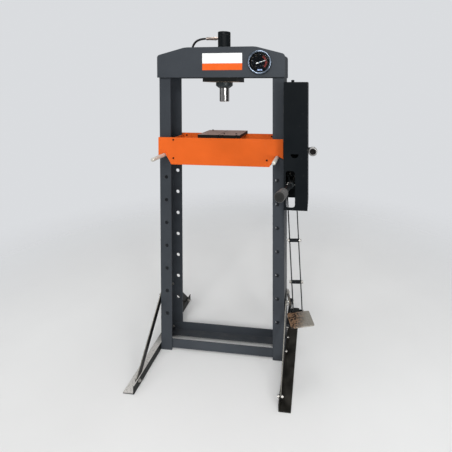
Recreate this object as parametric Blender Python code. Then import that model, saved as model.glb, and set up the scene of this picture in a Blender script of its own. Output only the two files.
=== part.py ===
"""Hydraulic shop press: an H-frame floor press with a hand and foot pumped ram.

Metres, +Z up. The origin is at the centre of the ram's tip, with the ram fully up. X runs to the
right, the ram's axis is Z and the operator stands on the -Y side. All heights below are above the
floor, because every piece hangs on an empty at floor level.
"""

import math

import bmesh
import bpy
from mathutils import Matrix, Vector

GAP = 0.0003  # left between neighbouring pieces

# Uprights: U-channels, open towards each other
UPRIGHT_OUT = 0.360  # outer face of the web
FLANGE = 0.065
DEPTH = 0.160
CHANNEL_T = 0.0075
UPRIGHT_TOP = 1.700
HOLE_X = 0.322
HOLE_TOP_Z = 1.143
HOLE_PITCH = 0.1325
HOLE_COUNT = 8
HOLE_R = 0.011
HOSE_HOLE = (0.005, 1.090)  # y, z of the hose's way through the right web

# Crown
CROWN_HALF = 0.3641
CROWN_BOTTOM = 1.5811
CROWN_SHOULDER = 1.7075
CROWN_TOP = 1.750
CROWN_FLAT = 0.2000
CROWN_T = 0.018
CROWN_IN = DEPTH / 2 + GAP
CROWN_OUT = CROWN_IN + CROWN_T
RIB_X = 0.060
RIB_T = 0.010
RIB_TOP = 1.735
MOUNT_PLATE_HALF = 0.096
MOUNT_PLATE_BOTTOM = 1.5565

# Base
RAIL_BOTTOM = 0.009
RAIL_HEIGHT = 0.052
ANGLE_T = 0.005
FOOT_HALF = 0.3656
FOOT_WIDTH = 0.0594
FOOT_HEIGHT = 0.0422
BRACE_WIDTH = 0.038
BRACE_T = 0.005
BRACE_TOP = (0.054, 0.306)  # y, z of the bolt on the upright
BRACE_FOOT = (0.318, 0.029)  # y, z of the bolt on the foot

# Cylinder and ram
BARREL_R = 0.0365
BORE_R = 0.0315
BARREL_BOTTOM = 1.5455
BARREL_TOP = 1.830
CAP_TOP = 1.848
NUT_R = 0.0485
NUT_LIP_R = 0.0350
NUT_BOTTOM = 1.524
RAM_R = 0.0280
RAM_BORE_R = 0.0185
RAM_BOTTOM = 1.443
RAM_TOP = 1.7747
PISTON_TOP = 1.800
PORT_Z = 1.811
HOSE_R = 0.0070
HOSE_WAY = (0.060, 1.640)  # y, z of the hose behind the cylinder
PIPE_WAY = (0.040, 1.675)  # y, z of the gauge pipe through the right rib

# Gauge
GAUGE = (0.227, 1.662)  # x, z of the centre
BEZEL_R = 0.0655
CASE_R = 0.056
POINTER_ANGLE = 18.0  # degrees above +X, at the reading shown
POINTER_LENGTH = 0.041
POINTER_TAIL = 0.0155

# Bed
BED_HALF = 0.3566
BED_TOP = 1.2428
BED_BOTTOM = 1.0899
BED_OUT = 0.105
BED_T = 0.010
SPACER_MARGIN = 0.0080
BED_CORNER_X = 0.280
BED_TAB_Z = 1.1346
NOTCH_R = 0.0104
PIN_R = 0.010
PIN_FRONT = -0.240
PIN_BACK = 0.118
ARBOR_X = ((-0.125, -0.006), (-0.003, 0.116))
ARBOR_REACH = 0.104
ARBOR_T = 0.0185

# Pump
COVER_LOW = (0.3655, -0.1725, 0.8835)
COVER_HIGH = (0.4900, 0.0300, 1.5528)
SHEET = 0.002
SLOT_X = (0.3765, 0.4245)
SLOT_Z = (0.8985, 1.0900)
MOUNT_X = (0.3603, 0.3675)
MOUNT_Y = (-0.078, 0.0272)
MOUNT_Z = (0.945, 1.500)
PUMP_X = (0.3680, 0.4430)
PUMP_Z = (1.030, 1.200)
TANK_LOW = (0.3680, -0.150, 1.235)
TANK_HIGH = (0.4800, 0.020, 1.530)
FILLER = (0.4095, -0.120)  # x, y of the filler neck
LEVER_X = 0.4055
LEVER_PIVOT = (LEVER_X, -0.020, 0.985)
LEVER_ANGLE = math.radians(12.0)
LEVER_R = 0.0155
SOCKET_R = 0.0120
HAND_LEVER_R = 0.0115
SOCKET_START = 0.125
SOCKET_END = 0.215
HAND_LEVER_END = 0.701
GRIP_START = 0.560
GRIP_END = 0.705
GRIP_R = 0.0195
PLUNGER_Y = 0.0134
PLUNGER_R = 0.0078
PLUNGER_NOSE = 0.98928
KNOB = (0.5163, 1.1825)  # x, z of the release knob
KNOB_R = 0.0245
VALVE_Y = -0.045

# Foot linkage: the pedal arm and the pump lever make a parallelogram with the straps
LINK_OFFSET = (-0.110, 0.0234)  # y, z from a pivot to its link pin
PEDAL_PIN_Z = 0.325
PEDAL_PIVOT = (0.3935, -0.020, PEDAL_PIN_Z - LINK_OFFSET[1])
LINK_PIN_Y = LEVER_PIVOT[1] + LINK_OFFSET[0]
LEVER_PIN_Z = LEVER_PIVOT[2] + LINK_OFFSET[1]
BRACKET_X = 0.3643
BRACKET_Y = (-0.040, 0.045)
BRACKET_Z = (0.100, 0.335)
SPRING_ENDS = ((0.3838, -0.0800, 0.3737), (0.4000, -0.1180, 0.3400))
STRAP_TOP_X = (0.3790, 0.4267)
STRAP_SHIFT = 0.0350  # how far the straps lean to the right on the way down
STRAP_T = 0.0045
STRAP_WIDTH = 0.022
LINK_PIN_R = 0.005
SPACER_Z = (0.7075, 0.4835)
SPACER_R = 0.009
TREAD_CENTRE = (0.4562, -0.2128)
TREAD_SIZE = (0.119, 0.108)
TREAD_Z = (0.3378, 0.3428)
TREAD_TURN = math.radians(17.0)

LOOKS = {
    "slate_paint": ((0.055, 0.060, 0.068), 0.0, 0.45),
    "black_paint": ((0.010, 0.011, 0.011), 0.0, 0.30),
    "orange_paint": ((0.750, 0.130, 0.016), 0.0, 0.38),
    "bright_steel": ((0.620, 0.610, 0.590), 1.0, 0.25),
    "chrome": ((0.800, 0.800, 0.800), 1.0, 0.08),
    "plate_steel": ((0.230, 0.200, 0.190), 1.0, 0.50),
    "brass": ((0.600, 0.400, 0.160), 1.0, 0.30),
    "rubber": ((0.020, 0.020, 0.019), 0.0, 0.75),
    "dial_black": ((0.012, 0.013, 0.015), 0.0, 0.40),
    "pointer_white": ((0.850, 0.850, 0.850), 0.0, 0.40),
    "glass": ((0.800, 0.850, 0.850), 0.0, 0.05),
}


# --- scene helpers ---------------------------------------------------------------------------


def clear_scene():
    for obj in list(bpy.data.objects):
        bpy.data.objects.remove(obj, do_unlink=True)


def look(name):
    found = bpy.data.materials.get(name)
    if found:
        return found
    colour, metallic, roughness = LOOKS[name]
    made = bpy.data.materials.new(name)
    made.use_nodes = True
    shader = made.node_tree.nodes["Principled BSDF"]
    shader.inputs["Base Color"].default_value = (*colour, 1.0)
    shader.inputs["Metallic"].default_value = metallic
    shader.inputs["Roughness"].default_value = roughness
    return made


def floor():
    """The empty at floor level, below the ram's tip, that carries every piece."""
    return bpy.data.objects["floor"]


def make_floor():
    empty = bpy.data.objects.new("floor", None)
    empty.location = (0.0, 0.0, -RAM_BOTTOM)
    bpy.context.scene.collection.objects.link(empty)


def pivot(name, point):
    """An empty on a joint's axis, for the pieces that move with it."""
    empty = bpy.data.objects.new(name, None)
    empty.location = point
    empty.parent = floor()
    bpy.context.scene.collection.objects.link(empty)
    return empty


def add(name, bm, look_name, place=(0.0, 0.0, 0.0), turn=(0.0, 0.0, 0.0), parent=None):
    """A bmesh as a named object, drawn about place and turned there."""
    bmesh.ops.recalc_face_normals(bm, faces=bm.faces)
    mesh = bpy.data.meshes.new(name)
    bm.to_mesh(mesh)
    bm.free()
    mesh.shade_smooth()
    mesh.set_sharp_from_angle(angle=math.radians(35.0))
    mesh.materials.append(look(look_name))
    obj = bpy.data.objects.new(name, mesh)
    bpy.context.scene.collection.objects.link(obj)
    obj.parent = parent or floor()
    obj.location = Vector(place) - (parent.location if parent else Vector())
    obj.rotation_euler = turn
    return obj


def tool(name, bm, place=(0.0, 0.0, 0.0), turn=(0.0, 0.0, 0.0)):
    """A helper solid for a Boolean. It isn't part of the press."""
    obj = add(name, bm, "bright_steel", place, turn)
    obj.hide_render = True
    obj.display_type = "WIRE"
    return obj


def boolean(obj, other, operation="DIFFERENCE"):
    step = obj.modifiers.new(other.name, "BOOLEAN")
    step.operation = operation
    step.solver = "EXACT"
    step.object = other


def drill(obj, name, holes):
    """Cuts round holes: each is (start, end, radius)."""
    bm = bmesh.new()
    for start, end, radius in holes:
        add_rod(bm, start, end, radius)
    boolean(obj, tool(name, bm))


# --- shapes ----------------------------------------------------------------------------------


def extrude(bm, outline, along, low, high):
    """An outline given as (x, y) along Z, (x, z) along Y or (y, z) along X, made into a solid."""
    to_point = {
        "X": lambda u, v, w: (w, u, v),
        "Y": lambda u, v, w: (u, w, v),
        "Z": lambda u, v, w: (u, v, w),
    }[along]
    ends = [[bm.verts.new(to_point(u, v, w)) for u, v in outline] for w in (low, high)]
    bm.faces.new(ends[0])
    bm.faces.new(list(reversed(ends[1])))
    for i in range(len(outline)):
        j = (i + 1) % len(outline)
        bm.faces.new((ends[0][i], ends[0][j], ends[1][j], ends[1][i]))
    return bm


def prism(outline, along, low, high):
    return extrude(bmesh.new(), outline, along, low, high)


def block(low, high, bm=None):
    corners = ((low[0], low[1]), (high[0], low[1]), (high[0], high[1]), (low[0], high[1]))
    return extrude(bm or bmesh.new(), corners, "Z", low[2], high[2])


def turned(profile, start, direction, steps=24, bm=None):
    """A closed profile of (distance along, radius) points, revolved about the line from start."""
    bm = bm or bmesh.new()
    axis = Vector(direction).normalized()
    across = axis.orthogonal().normalized()
    rings = []
    for distance, radius in profile:
        centre = Vector(start) + axis * distance
        if radius == 0.0:
            rings.append([bm.verts.new(centre)])
            continue
        ring = []
        for i in range(steps):
            spoke = Matrix.Rotation(math.tau * i / steps, 3, axis) @ across
            ring.append(bm.verts.new(centre + spoke * radius))
        rings.append(ring)
    for ring, after in zip(rings, rings[1:] + rings[:1]):
        for i in range(steps):
            j = (i + 1) % steps
            corners = [ring[i % len(ring)], ring[j % len(ring)]]
            corners += [after[j % len(after)], after[i % len(after)]]
            face = list(dict.fromkeys(corners))
            if len(face) > 2:
                bm.faces.new(face)
    return bm


def add_rod(bm, start, end, radius, steps=0):
    steps = steps or (16 if radius < 0.015 else 48)
    length = (Vector(end) - Vector(start)).length
    profile = ((0.0, 0.0), (0.0, radius), (length, radius), (length, 0.0))
    return turned(profile, start, Vector(end) - Vector(start), steps, bm)


def rod(start, end, radius, steps=20, chamfer=0.0, head_r=0.0, head=0.0):
    """A round bar, with its two ends chamfered, and with a head past its end if head is set."""
    length = (Vector(end) - Vector(start)).length
    profile = [(0.0, 0.0), (0.0, radius - chamfer)]
    if chamfer:
        profile.append((chamfer, radius))
    if head:
        profile += [(length, radius), (length, head_r), (length + head, head_r)]
        profile.append((length + head, 0.0))
    elif chamfer:
        profile += [(length - chamfer, radius), (length, radius - chamfer), (length, 0.0)]
    else:
        profile += [(length, radius), (length, 0.0)]
    return turned(profile, start, Vector(end) - Vector(start), steps)


def arc(centre, radius, first, last, steps):
    """Points on a circle from one angle in degrees to another."""
    points = []
    for i in range(steps + 1):
        angle = math.radians(first + (last - first) * i / steps)
        points.append((centre[0] + radius * math.cos(angle), centre[1] + radius * math.sin(angle)))
    return points


def stadium(first, second, width, steps=6):
    """The outline of a flat bar with round ends, from one end's centre to the other's."""
    heading = math.degrees(math.atan2(second[1] - first[1], second[0] - first[0]))
    far = arc(second, width / 2, heading - 90, heading + 90, steps)
    near = arc(first, width / 2, heading + 90, heading + 270, steps)
    return far + near


def rounded_box(low, high, radius, steps=4):
    """The outline of a rectangle with round corners."""
    corners = (
        ((high[0] - radius, low[1] + radius), -90),
        ((high[0] - radius, high[1] - radius), 0),
        ((low[0] + radius, high[1] - radius), 90),
        ((low[0] + radius, low[1] + radius), 180),
    )
    outline = []
    for centre, first in corners:
        outline += arc(centre, radius, first, first + 90, steps)
    return outline


def smooth_path(knots, steps):
    """A Catmull-Rom curve through the knots."""
    points = [Vector(knot) for knot in knots]
    ends = [points[0] * 2 - points[1]] + points + [points[-1] * 2 - points[-2]]
    path = []
    for a, b, c, d in zip(ends, ends[1:], ends[2:], ends[3:]):
        for i in range(steps):
            t = i / steps
            bend = (2 * a - 5 * b + 4 * c - d) * t**2 + (3 * b - a - 3 * c + d) * t**3
            path.append((2 * b + (c - a) * t + bend) / 2)
    return path + [points[-1]]


def coil(start, end, radius, turns, steps):
    """A helix between two points, with its ends brought in to the axis."""
    axis = Vector(end) - Vector(start)
    across = axis.orthogonal().normalized()
    path = [Vector(start)]
    for i in range(turns * steps + 1):
        spoke = Matrix.Rotation(math.tau * i / steps, 3, axis) @ across
        share = 0.06 + 0.88 * i / (turns * steps)
        path.append(Vector(start) + axis * share + spoke * radius)
    return path + [Vector(end)]


def wire(name, path, radius, look_name, corners=2, parent=None):
    """A round wire or hose along a path, as a curve with closed ends."""
    curve = bpy.data.curves.new(name, "CURVE")
    curve.dimensions = "3D"
    curve.bevel_depth = radius
    curve.bevel_resolution = corners
    curve.use_fill_caps = True
    spline = curve.splines.new("POLY")
    spline.points.add(len(path) - 1)
    base = parent.location if parent else Vector()
    for point, place in zip(spline.points, path):
        point.co = (*(place - base), 1.0)
    curve.materials.append(look(look_name))
    obj = bpy.data.objects.new(name, curve)
    obj.parent = parent or floor()
    bpy.context.scene.collection.objects.link(obj)
    return obj


# --- frame -----------------------------------------------------------------------------------


def make_upright(name, side):
    out, half, thick = UPRIGHT_OUT, DEPTH / 2, CHANNEL_T
    inner = out - FLANGE
    outline = [
        (inner, -half), (out, -half), (out, half), (inner, half),
        (inner, half - thick), (out - thick, half - thick),
        (out - thick, thick - half), (inner, thick - half),
    ]
    outline = [(side * x, y) for x, y in outline]
    upright = add(name, prism(outline, "Z", 0.0, UPRIGHT_TOP), "slate_paint")
    holes = []
    for i in range(HOLE_COUNT):
        z = HOLE_TOP_Z - i * HOLE_PITCH
        holes.append(((side * HOLE_X, -half - 0.01, z), (side * HOLE_X, half + 0.01, z), HOLE_R))
    if side > 0:
        y, z = HOSE_HOLE
        holes.append(((out - 0.015, y, z), (out + 0.008, y, z), 0.0110))
    drill(upright, name + "_holes", holes)


def make_crown_plate(name, side):
    half, shoulder = CROWN_HALF, CROWN_SHOULDER
    right = [(half, CROWN_BOTTOM), (half, shoulder - 0.012), (half - 0.003, shoulder - 0.004)]
    right += [(half - 0.010, shoulder + 0.002), (CROWN_FLAT + 0.008, CROWN_TOP - 0.002)]
    right.append((CROWN_FLAT - 0.012, CROWN_TOP))
    outline = right + [(-x, z) for x, z in reversed(right)]
    low, high = sorted((side * CROWN_IN, side * CROWN_OUT))
    return add(name, prism(outline, "Y", low, high), "slate_paint")


def make_crown():
    front = make_crown_plate("crown_front_plate", -1)
    x, z = GAUGE
    drill(front, "gauge_hole", [((x, -0.12, z), (x, -0.06, z), CASE_R + 0.001)])
    make_crown_plate("crown_back_plate", 1)
    half = DEPTH / 2
    for name, left in (("crown_left_rib", -RIB_X - RIB_T), ("crown_right_rib", RIB_X)):
        low = (left, -half, CROWN_BOTTOM + GAP)
        rib = add(name, block(low, (left + RIB_T, half, RIB_TOP)), "slate_paint")
        ways = [(HOSE_WAY, 0.0095)]
        if left > 0:
            ways.append((PIPE_WAY, 0.005))
        holes = []
        for (y, z), radius in ways:
            holes.append(((left - 0.01, y, z), (left + RIB_T + 0.01, y, z), radius))
        drill(rib, name + "_holes", holes)
    low = (-MOUNT_PLATE_HALF, -CROWN_OUT, MOUNT_PLATE_BOTTOM)
    high = (MOUNT_PLATE_HALF, CROWN_OUT, CROWN_BOTTOM - GAP)
    plate = add("cylinder_mounting_plate", block(low, high), "black_paint")
    drill(plate, "barrel_hole", [((0, 0, 1.55), (0, 0, 1.59), BARREL_R + 0.0006)])


def make_base_rail(name, side):
    """An angle between the uprights: its upright leg is behind their flanges, its foot inwards."""
    face = DEPTH / 2 - CHANNEL_T - GAP
    top = RAIL_BOTTOM + RAIL_HEIGHT
    outline = [
        (face, RAIL_BOTTOM), (face, top), (face - ANGLE_T, top),
        (face - ANGLE_T, RAIL_BOTTOM + ANGLE_T), (face - RAIL_HEIGHT, RAIL_BOTTOM + ANGLE_T),
        (face - RAIL_HEIGHT, RAIL_BOTTOM),
    ]
    reach = UPRIGHT_OUT - CHANNEL_T - 0.002
    outline = [(side * y, z) for y, z in outline]
    add(name, prism(outline, "X", -reach, reach), "slate_paint")


def make_foot(name, side):
    near = UPRIGHT_OUT + GAP
    outline = [
        (near, 0.0), (near + FOOT_WIDTH, 0.0), (near + FOOT_WIDTH, ANGLE_T),
        (near + ANGLE_T, ANGLE_T), (near + ANGLE_T, FOOT_HEIGHT), (near, FOOT_HEIGHT),
    ]
    outline = [(side * x, z) for x, z in outline]
    add(name, prism(outline, "Y", -FOOT_HALF, FOOT_HALF), "black_paint")


def make_brace(name, side, end):
    near = UPRIGHT_OUT + ANGLE_T + 2 * GAP
    top = (end * BRACE_TOP[0], BRACE_TOP[1])
    foot = (end * BRACE_FOOT[0], BRACE_FOOT[1])
    low, high = sorted((side * near, side * (near + BRACE_T)))
    add(name, prism(stadium(foot, top, BRACE_WIDTH), "X", low, high), "black_paint")


def make_frame():
    for word, side in (("left", -1), ("right", 1)):
        make_upright(word + "_upright", side)
        make_foot(word + "_foot", side)
        make_brace(word + "_front_brace", side, -1)
        make_brace(word + "_rear_brace", side, 1)
    make_crown()
    make_base_rail("front_base_rail", -1)
    make_base_rail("rear_base_rail", 1)


# --- cylinder --------------------------------------------------------------------------------

UP = (0.0, 0.0, 1.0)


def on_axis(profile, steps=32):
    """A solid turned about the ram's axis, from (height, radius) points."""
    return turned(profile, (0.0, 0.0, 0.0), UP, steps)


def make_cylinder():
    barrel = on_axis([
        (BARREL_BOTTOM, BORE_R), (BARREL_BOTTOM, BARREL_R),
        (BARREL_TOP, BARREL_R), (BARREL_TOP, BORE_R),
    ])
    barrel = add("cylinder_barrel", barrel, "black_paint")
    ports = [((-0.045, 0, PORT_Z), (-0.020, 0, PORT_Z), 0.005)]
    ports.append(((0, 0.020, PORT_Z - 0.005), (0, 0.045, PORT_Z - 0.005), 0.002))
    drill(barrel, "barrel_ports", ports)
    seat = BARREL_TOP + GAP
    add("cylinder_cap", on_axis([
        (seat - 0.004, 0.0), (seat - 0.004, BORE_R - GAP), (seat, BORE_R - GAP),
        (seat, BARREL_R), (CAP_TOP - 0.003, BARREL_R), (CAP_TOP, BARREL_R - 0.003),
        (CAP_TOP, 0.0),
    ]), "black_paint")
    bore, lip = RAM_R + 0.0006, BARREL_BOTTOM - 2 * GAP
    top = MOUNT_PLATE_BOTTOM - GAP
    add("gland_nut", on_axis([
        (NUT_BOTTOM, bore), (NUT_BOTTOM, NUT_LIP_R), (NUT_BOTTOM + 0.012, NUT_R),
        (top, NUT_R), (top, BARREL_R + 0.0005), (lip, BARREL_R + 0.0005), (lip, bore),
    ]), "black_paint")
    add("cylinder_port_adapter", turned([
        (0.0, 0.0), (0.0, 0.0080), (0.012, 0.0080), (0.012, 0.0100), (0.034, 0.0100),
        (0.034, 0.0088), (0.0700, 0.0088), (0.0700, 0.0),
    ], (-BARREL_R - 0.0006, 0, PORT_Z), (-1, 0, 0), 12), "brass")


def make_ram():
    ram_axis = pivot("ram_axis", (0.0, 0.0, RAM_BOTTOM))
    low = RAM_BOTTOM
    ram = turned([
        (0.0, 0.0), (0.0, RAM_R - 0.002), (0.002, RAM_R), (RAM_TOP - low, RAM_R),
        (RAM_TOP - low, RAM_BORE_R), (0.027, RAM_BORE_R), (0.027, 0.0),
    ], (0, 0, 0), UP, 32)
    add("ram", ram, "chrome", (0, 0, low), parent=ram_axis)
    base = RAM_TOP + GAP
    outer, groove = BORE_R - 0.0004, 0.0275
    piston = turned([
        (0.0, RAM_BORE_R), (0.0, outer), (0.008, outer), (0.008, groove),
        (0.0165, groove), (0.0165, outer), (PISTON_TOP - base, outer),
        (PISTON_TOP - base, RAM_BORE_R),
    ], (0, 0, 0), UP, 32)
    add("piston", piston, "bright_steel", (0, 0, base), parent=ram_axis)
    seal = [(0.0083, groove + GAP), (0.0083, outer + 0.0001)]
    seal += [(0.0162, outer + 0.0001), (0.0162, groove + GAP)]
    add("piston_seal", turned(seal, (0, 0, 0), UP, 32), "rubber", (0, 0, base), parent=ram_axis)
    path = coil((0, 0, RAM_BOTTOM + 0.0292), (0, 0, BARREL_TOP - 0.0055), 0.0125, 12, 10)
    wire("ram_return_spring", path, 0.0014, "bright_steel", 0, ram_axis)


def make_hydraulic_lines():
    hose_y, hose_z = HOSE_WAY
    y, z = HOSE_HOLE
    run_x = 0.344  # beside the bed pins, inside the right upright
    hose = [
        (-0.1075, 0.0, PORT_Z), (-0.137, 0.001, PORT_Z - 0.002), (-0.168, 0.004, 1.799),
        (-0.190, 0.011, 1.778), (-0.202, 0.020, 1.750), (-0.200, 0.034, 1.705),
        (-0.170, 0.050, 1.662), (-0.120, hose_y, hose_z), (0.0, hose_y, hose_z),
        (0.120, hose_y, hose_z), (0.220, 0.050, 1.628), (0.290, 0.030, 1.595),
        (0.330, 0.012, 1.540), (run_x, y, 1.460), (run_x, y, 1.300), (run_x, y, 1.160),
        (run_x, y, z + 0.022), (run_x + 0.0035, y, z + 0.0045), (run_x + 0.011, y, z),
        (MOUNT_X[1] - 0.0015, y, z),
    ]
    wire("hydraulic_hose", smooth_path(hose, 3), HOSE_R, "rubber", 2)
    pipe_y, pipe_z = PIPE_WAY
    x, gauge_z = GAUGE
    pipe = [
        (x, -0.0585, gauge_z), (x, -0.040, gauge_z), (x - 0.030, 0.0, gauge_z + 0.004),
        (0.130, pipe_y - 0.003, pipe_z), (0.055, pipe_y, pipe_z), (0.020, 0.052, 1.690),
        (0.002, 0.058, 1.730), (0.0, 0.057, 1.780), (0.0, 0.050, PORT_Z - 0.008),
        (0.0, BARREL_R + 0.0004, PORT_Z - 0.005),
    ]
    wire("gauge_pipe", smooth_path(pipe, 3), 0.0025, "brass", 1)


# --- gauge -----------------------------------------------------------------------------------


def make_gauge():
    x, z = GAUGE
    back = (0.0, 1.0, 0.0)
    face = -CROWN_OUT - GAP

    def on_gauge(name, profile, look_name, steps=32):
        """A solid turned about the gauge's axis, from (y, radius) points."""
        return add(name, turned(profile, (x, 0.0, z), back, steps), look_name)

    on_gauge("gauge_case", [
        (face - 0.010, 0.052), (face - 0.010, CASE_R), (face - 0.0023, CASE_R),
        (face - 0.0023, 0.0630), (face, 0.0630), (face, CASE_R), (-0.0595, CASE_R),
        (-0.0595, 0.0), (-0.0625, 0.0), (-0.0625, 0.052),
    ], "dial_black")
    on_gauge("gauge_bezel", [
        (face - 0.0026, 0.0585), (face - 0.0026, BEZEL_R), (face - 0.0120, BEZEL_R),
        (face - 0.0155, BEZEL_R - 0.0035), (face - 0.0155, 0.0575),
        (face - 0.0130, 0.0555), (face - 0.0130, 0.0585),
    ], "chrome")
    on_gauge("gauge_glass", [
        (face - 0.0127, 0.0), (face - 0.0127, 0.0580), (face - 0.0105, 0.0580),
        (face - 0.0105, 0.0),
    ], "glass")
    on_gauge("gauge_dial", [
        (face - 0.0015, 0.0030), (face - 0.0015, 0.0515), (face, 0.0515), (face, 0.0030),
    ], "dial_black")
    axis = pivot("gauge_axis", (x, face, z))
    blade = [(0.0, -0.0020), (POINTER_LENGTH, -0.0004), (POINTER_LENGTH, 0.0004), (0.0, 0.0020)]
    blade += [(0.0045 - POINTER_TAIL, 0.0016)] + arc((-POINTER_TAIL, 0.0), 0.0045, 30, 330, 12)
    blade.append((0.0045 - POINTER_TAIL, -0.0016))
    bm = prism(blade, "Y", -0.0060, -0.0048)
    tilt = (0.0, math.radians(-POINTER_ANGLE), 0.0)
    pointer = add("gauge_pointer", bm, "pointer_white", (x, face, z), tilt, axis)
    shaft = [(-0.0066, 0.0), (-0.0066, 0.0048), (-0.0042, 0.0048), (-0.0042, 0.0020)]
    shaft += [(0.0200, 0.0020), (0.0200, 0.0)]
    hub = turned(shaft, (0, 0, 0), back, 16)
    boolean(pointer, tool("pointer_hub", hub, (x, face, z), tilt), "UNION")


# --- bed -------------------------------------------------------------------------------------


def bed_outline():
    """A bed plate, with a quarter-round notch over each pin and its corners cut off below."""
    pin = (HOLE_X, HOLE_TOP_Z)
    right = [(BED_CORNER_X, BED_BOTTOM)] + arc(pin, NOTCH_R, 180, 57, 7)
    right += [(BED_HALF, BED_TAB_Z), (BED_HALF, BED_TOP)]
    return right + [(-x, z) for x, z in reversed(right)]


def make_bed_plate(name, side, parent):
    low, high = sorted((side * BED_OUT, side * (BED_OUT - BED_T)))
    centre = (0.0, 0.0, HOLE_TOP_Z)
    outline = [(x, z - HOLE_TOP_Z) for x, z in bed_outline()]
    add(name, prism(outline, "Y", low, high), "orange_paint", centre, parent=parent)


def make_bed_spacer(name, side, parent):
    """A bracket between the bed plates: its web along Y, its two ends bolted to them."""
    near, far = 0.2400, 0.2880
    reach, thick = BED_OUT - BED_T - GAP, 0.005
    outline = [
        (near, -reach), (far, -reach), (far, reach), (near, reach),
        (near, reach - thick), (far - thick, reach - thick),
        (far - thick, thick - reach), (near, thick - reach),
    ]
    outline = [(side * x, y) for x, y in outline]
    low = BED_BOTTOM + SPACER_MARGIN - HOLE_TOP_Z
    high = BED_TOP - SPACER_MARGIN - HOLE_TOP_Z
    bm = prism(outline, "Z", low, high)
    add(name, bm, "orange_paint", (0, 0, HOLE_TOP_Z), parent=parent)


def make_arbor_plate(name, side):
    """A thick plate across both bed plates. One end has two half-round notches."""
    left, right = ARBOR_X[0 if side < 0 else 1]
    middle = (left + right) / 2
    half = (right - left) / 2
    base = BED_TOP + GAP
    slide = pivot(name + "_axis", (middle, 0.0, base))
    edge = [(-half, -ARBOR_REACH), (half, -ARBOR_REACH), (half, ARBOR_REACH)]
    for x in (0.0400, -0.0395):
        edge += arc((x, ARBOR_REACH), 0.0070, 0, -180, 8)
    edge.append((-half, ARBOR_REACH))
    outline = [(-side * x, -side * y) for x, y in edge]
    bm = prism(outline, "Z", 0.0, ARBOR_T)
    add(name, bm, "plate_steel", slide.location, parent=slide)


def make_bed():
    bed = pivot("bed_slide", (0.0, 0.0, HOLE_TOP_Z))
    make_bed_plate("bed_front_plate", -1, bed)
    make_bed_plate("bed_rear_plate", 1, bed)
    for word, side in (("left", -1), ("right", 1)):
        make_bed_spacer("bed_" + word + "_spacer", side, bed)
        start = (side * HOLE_X, PIN_FRONT, HOLE_TOP_Z)
        bm = rod((0, 0, 0), (0, PIN_BACK - PIN_FRONT, 0), PIN_R, chamfer=0.0025)
        add("bed_" + word + "_pin", bm, "bright_steel", start)
        make_arbor_plate(word + "_arbor_plate", side)


# --- pump ------------------------------------------------------------------------------------


def make_pump_cover():
    """A sheet box, open below, that fits around the mounting plate on the upright."""
    cover = add("pump_cover", block(COVER_LOW, COVER_HIGH), "black_paint")
    x0, y0, z0 = COVER_LOW
    x1, y1, z1 = COVER_HIGH
    hollow = block((x0 + SHEET, y0 + SHEET, z0 - 0.01), (x1 - SHEET, y1 - SHEET, z1 - SHEET))
    boolean(cover, tool("cover_hollow", hollow))
    beside = block((x0 - 0.01, MOUNT_Y[0] - 0.0004, MOUNT_Z[0] - 0.0004),
                   (x0 + 0.01, MOUNT_Y[1] + 0.0004, MOUNT_Z[1] + 0.0004))
    boolean(cover, tool("cover_left_opening", beside))
    slot = rounded_box((SLOT_X[0], SLOT_Z[0]), (SLOT_X[1], SLOT_Z[1]), 0.014)
    boolean(cover, tool("lever_slot", prism(slot, "Y", y0 - 0.01, y0 + 0.01)))
    vent = arc((0.4225, 1.178), 0.0215, 180, 360, 12)
    boolean(cover, tool("cover_vent", prism(vent, "Y", y0 - 0.01, y0 + 0.01)))
    fx, fy = FILLER
    holes = [((fx, fy, z1 - 0.01), (fx, fy, z1 + 0.01), 0.0075)]
    holes.append(((x1 - 0.01, VALVE_Y, KNOB[1]), (x1 + 0.01, VALVE_Y, KNOB[1]), 0.0130))
    drill(cover, "cover_holes", holes)


def make_tank():
    tank = add("oil_tank", block(TANK_LOW, TANK_HIGH), "black_paint")
    low = [c + SHEET for c in TANK_LOW]
    high = [c - SHEET for c in TANK_HIGH]
    boolean(tank, tool("tank_hollow", block(low, high)))
    fx, fy = FILLER
    top = TANK_HIGH[2]
    drill(tank, "filler_hole", [((fx, fy, top - 0.01), (fx, fy, top + 0.01), 0.0075)])
    cap_base = COVER_HIGH[2] + 0.0005
    cap_axis = pivot("filler_cap_axis", (fx, fy, cap_base))
    cap = turned([
        (-0.032, 0.0), (-0.032, 0.0065), (0.0, 0.0065), (0.0, 0.0085),
        (0.0095, 0.0085), (0.0115, 0.0065), (0.0115, 0.0),
    ], (0, 0, 0), UP, 16)
    add("filler_cap", cap, "black_paint", (fx, fy, cap_base), parent=cap_axis)


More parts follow.
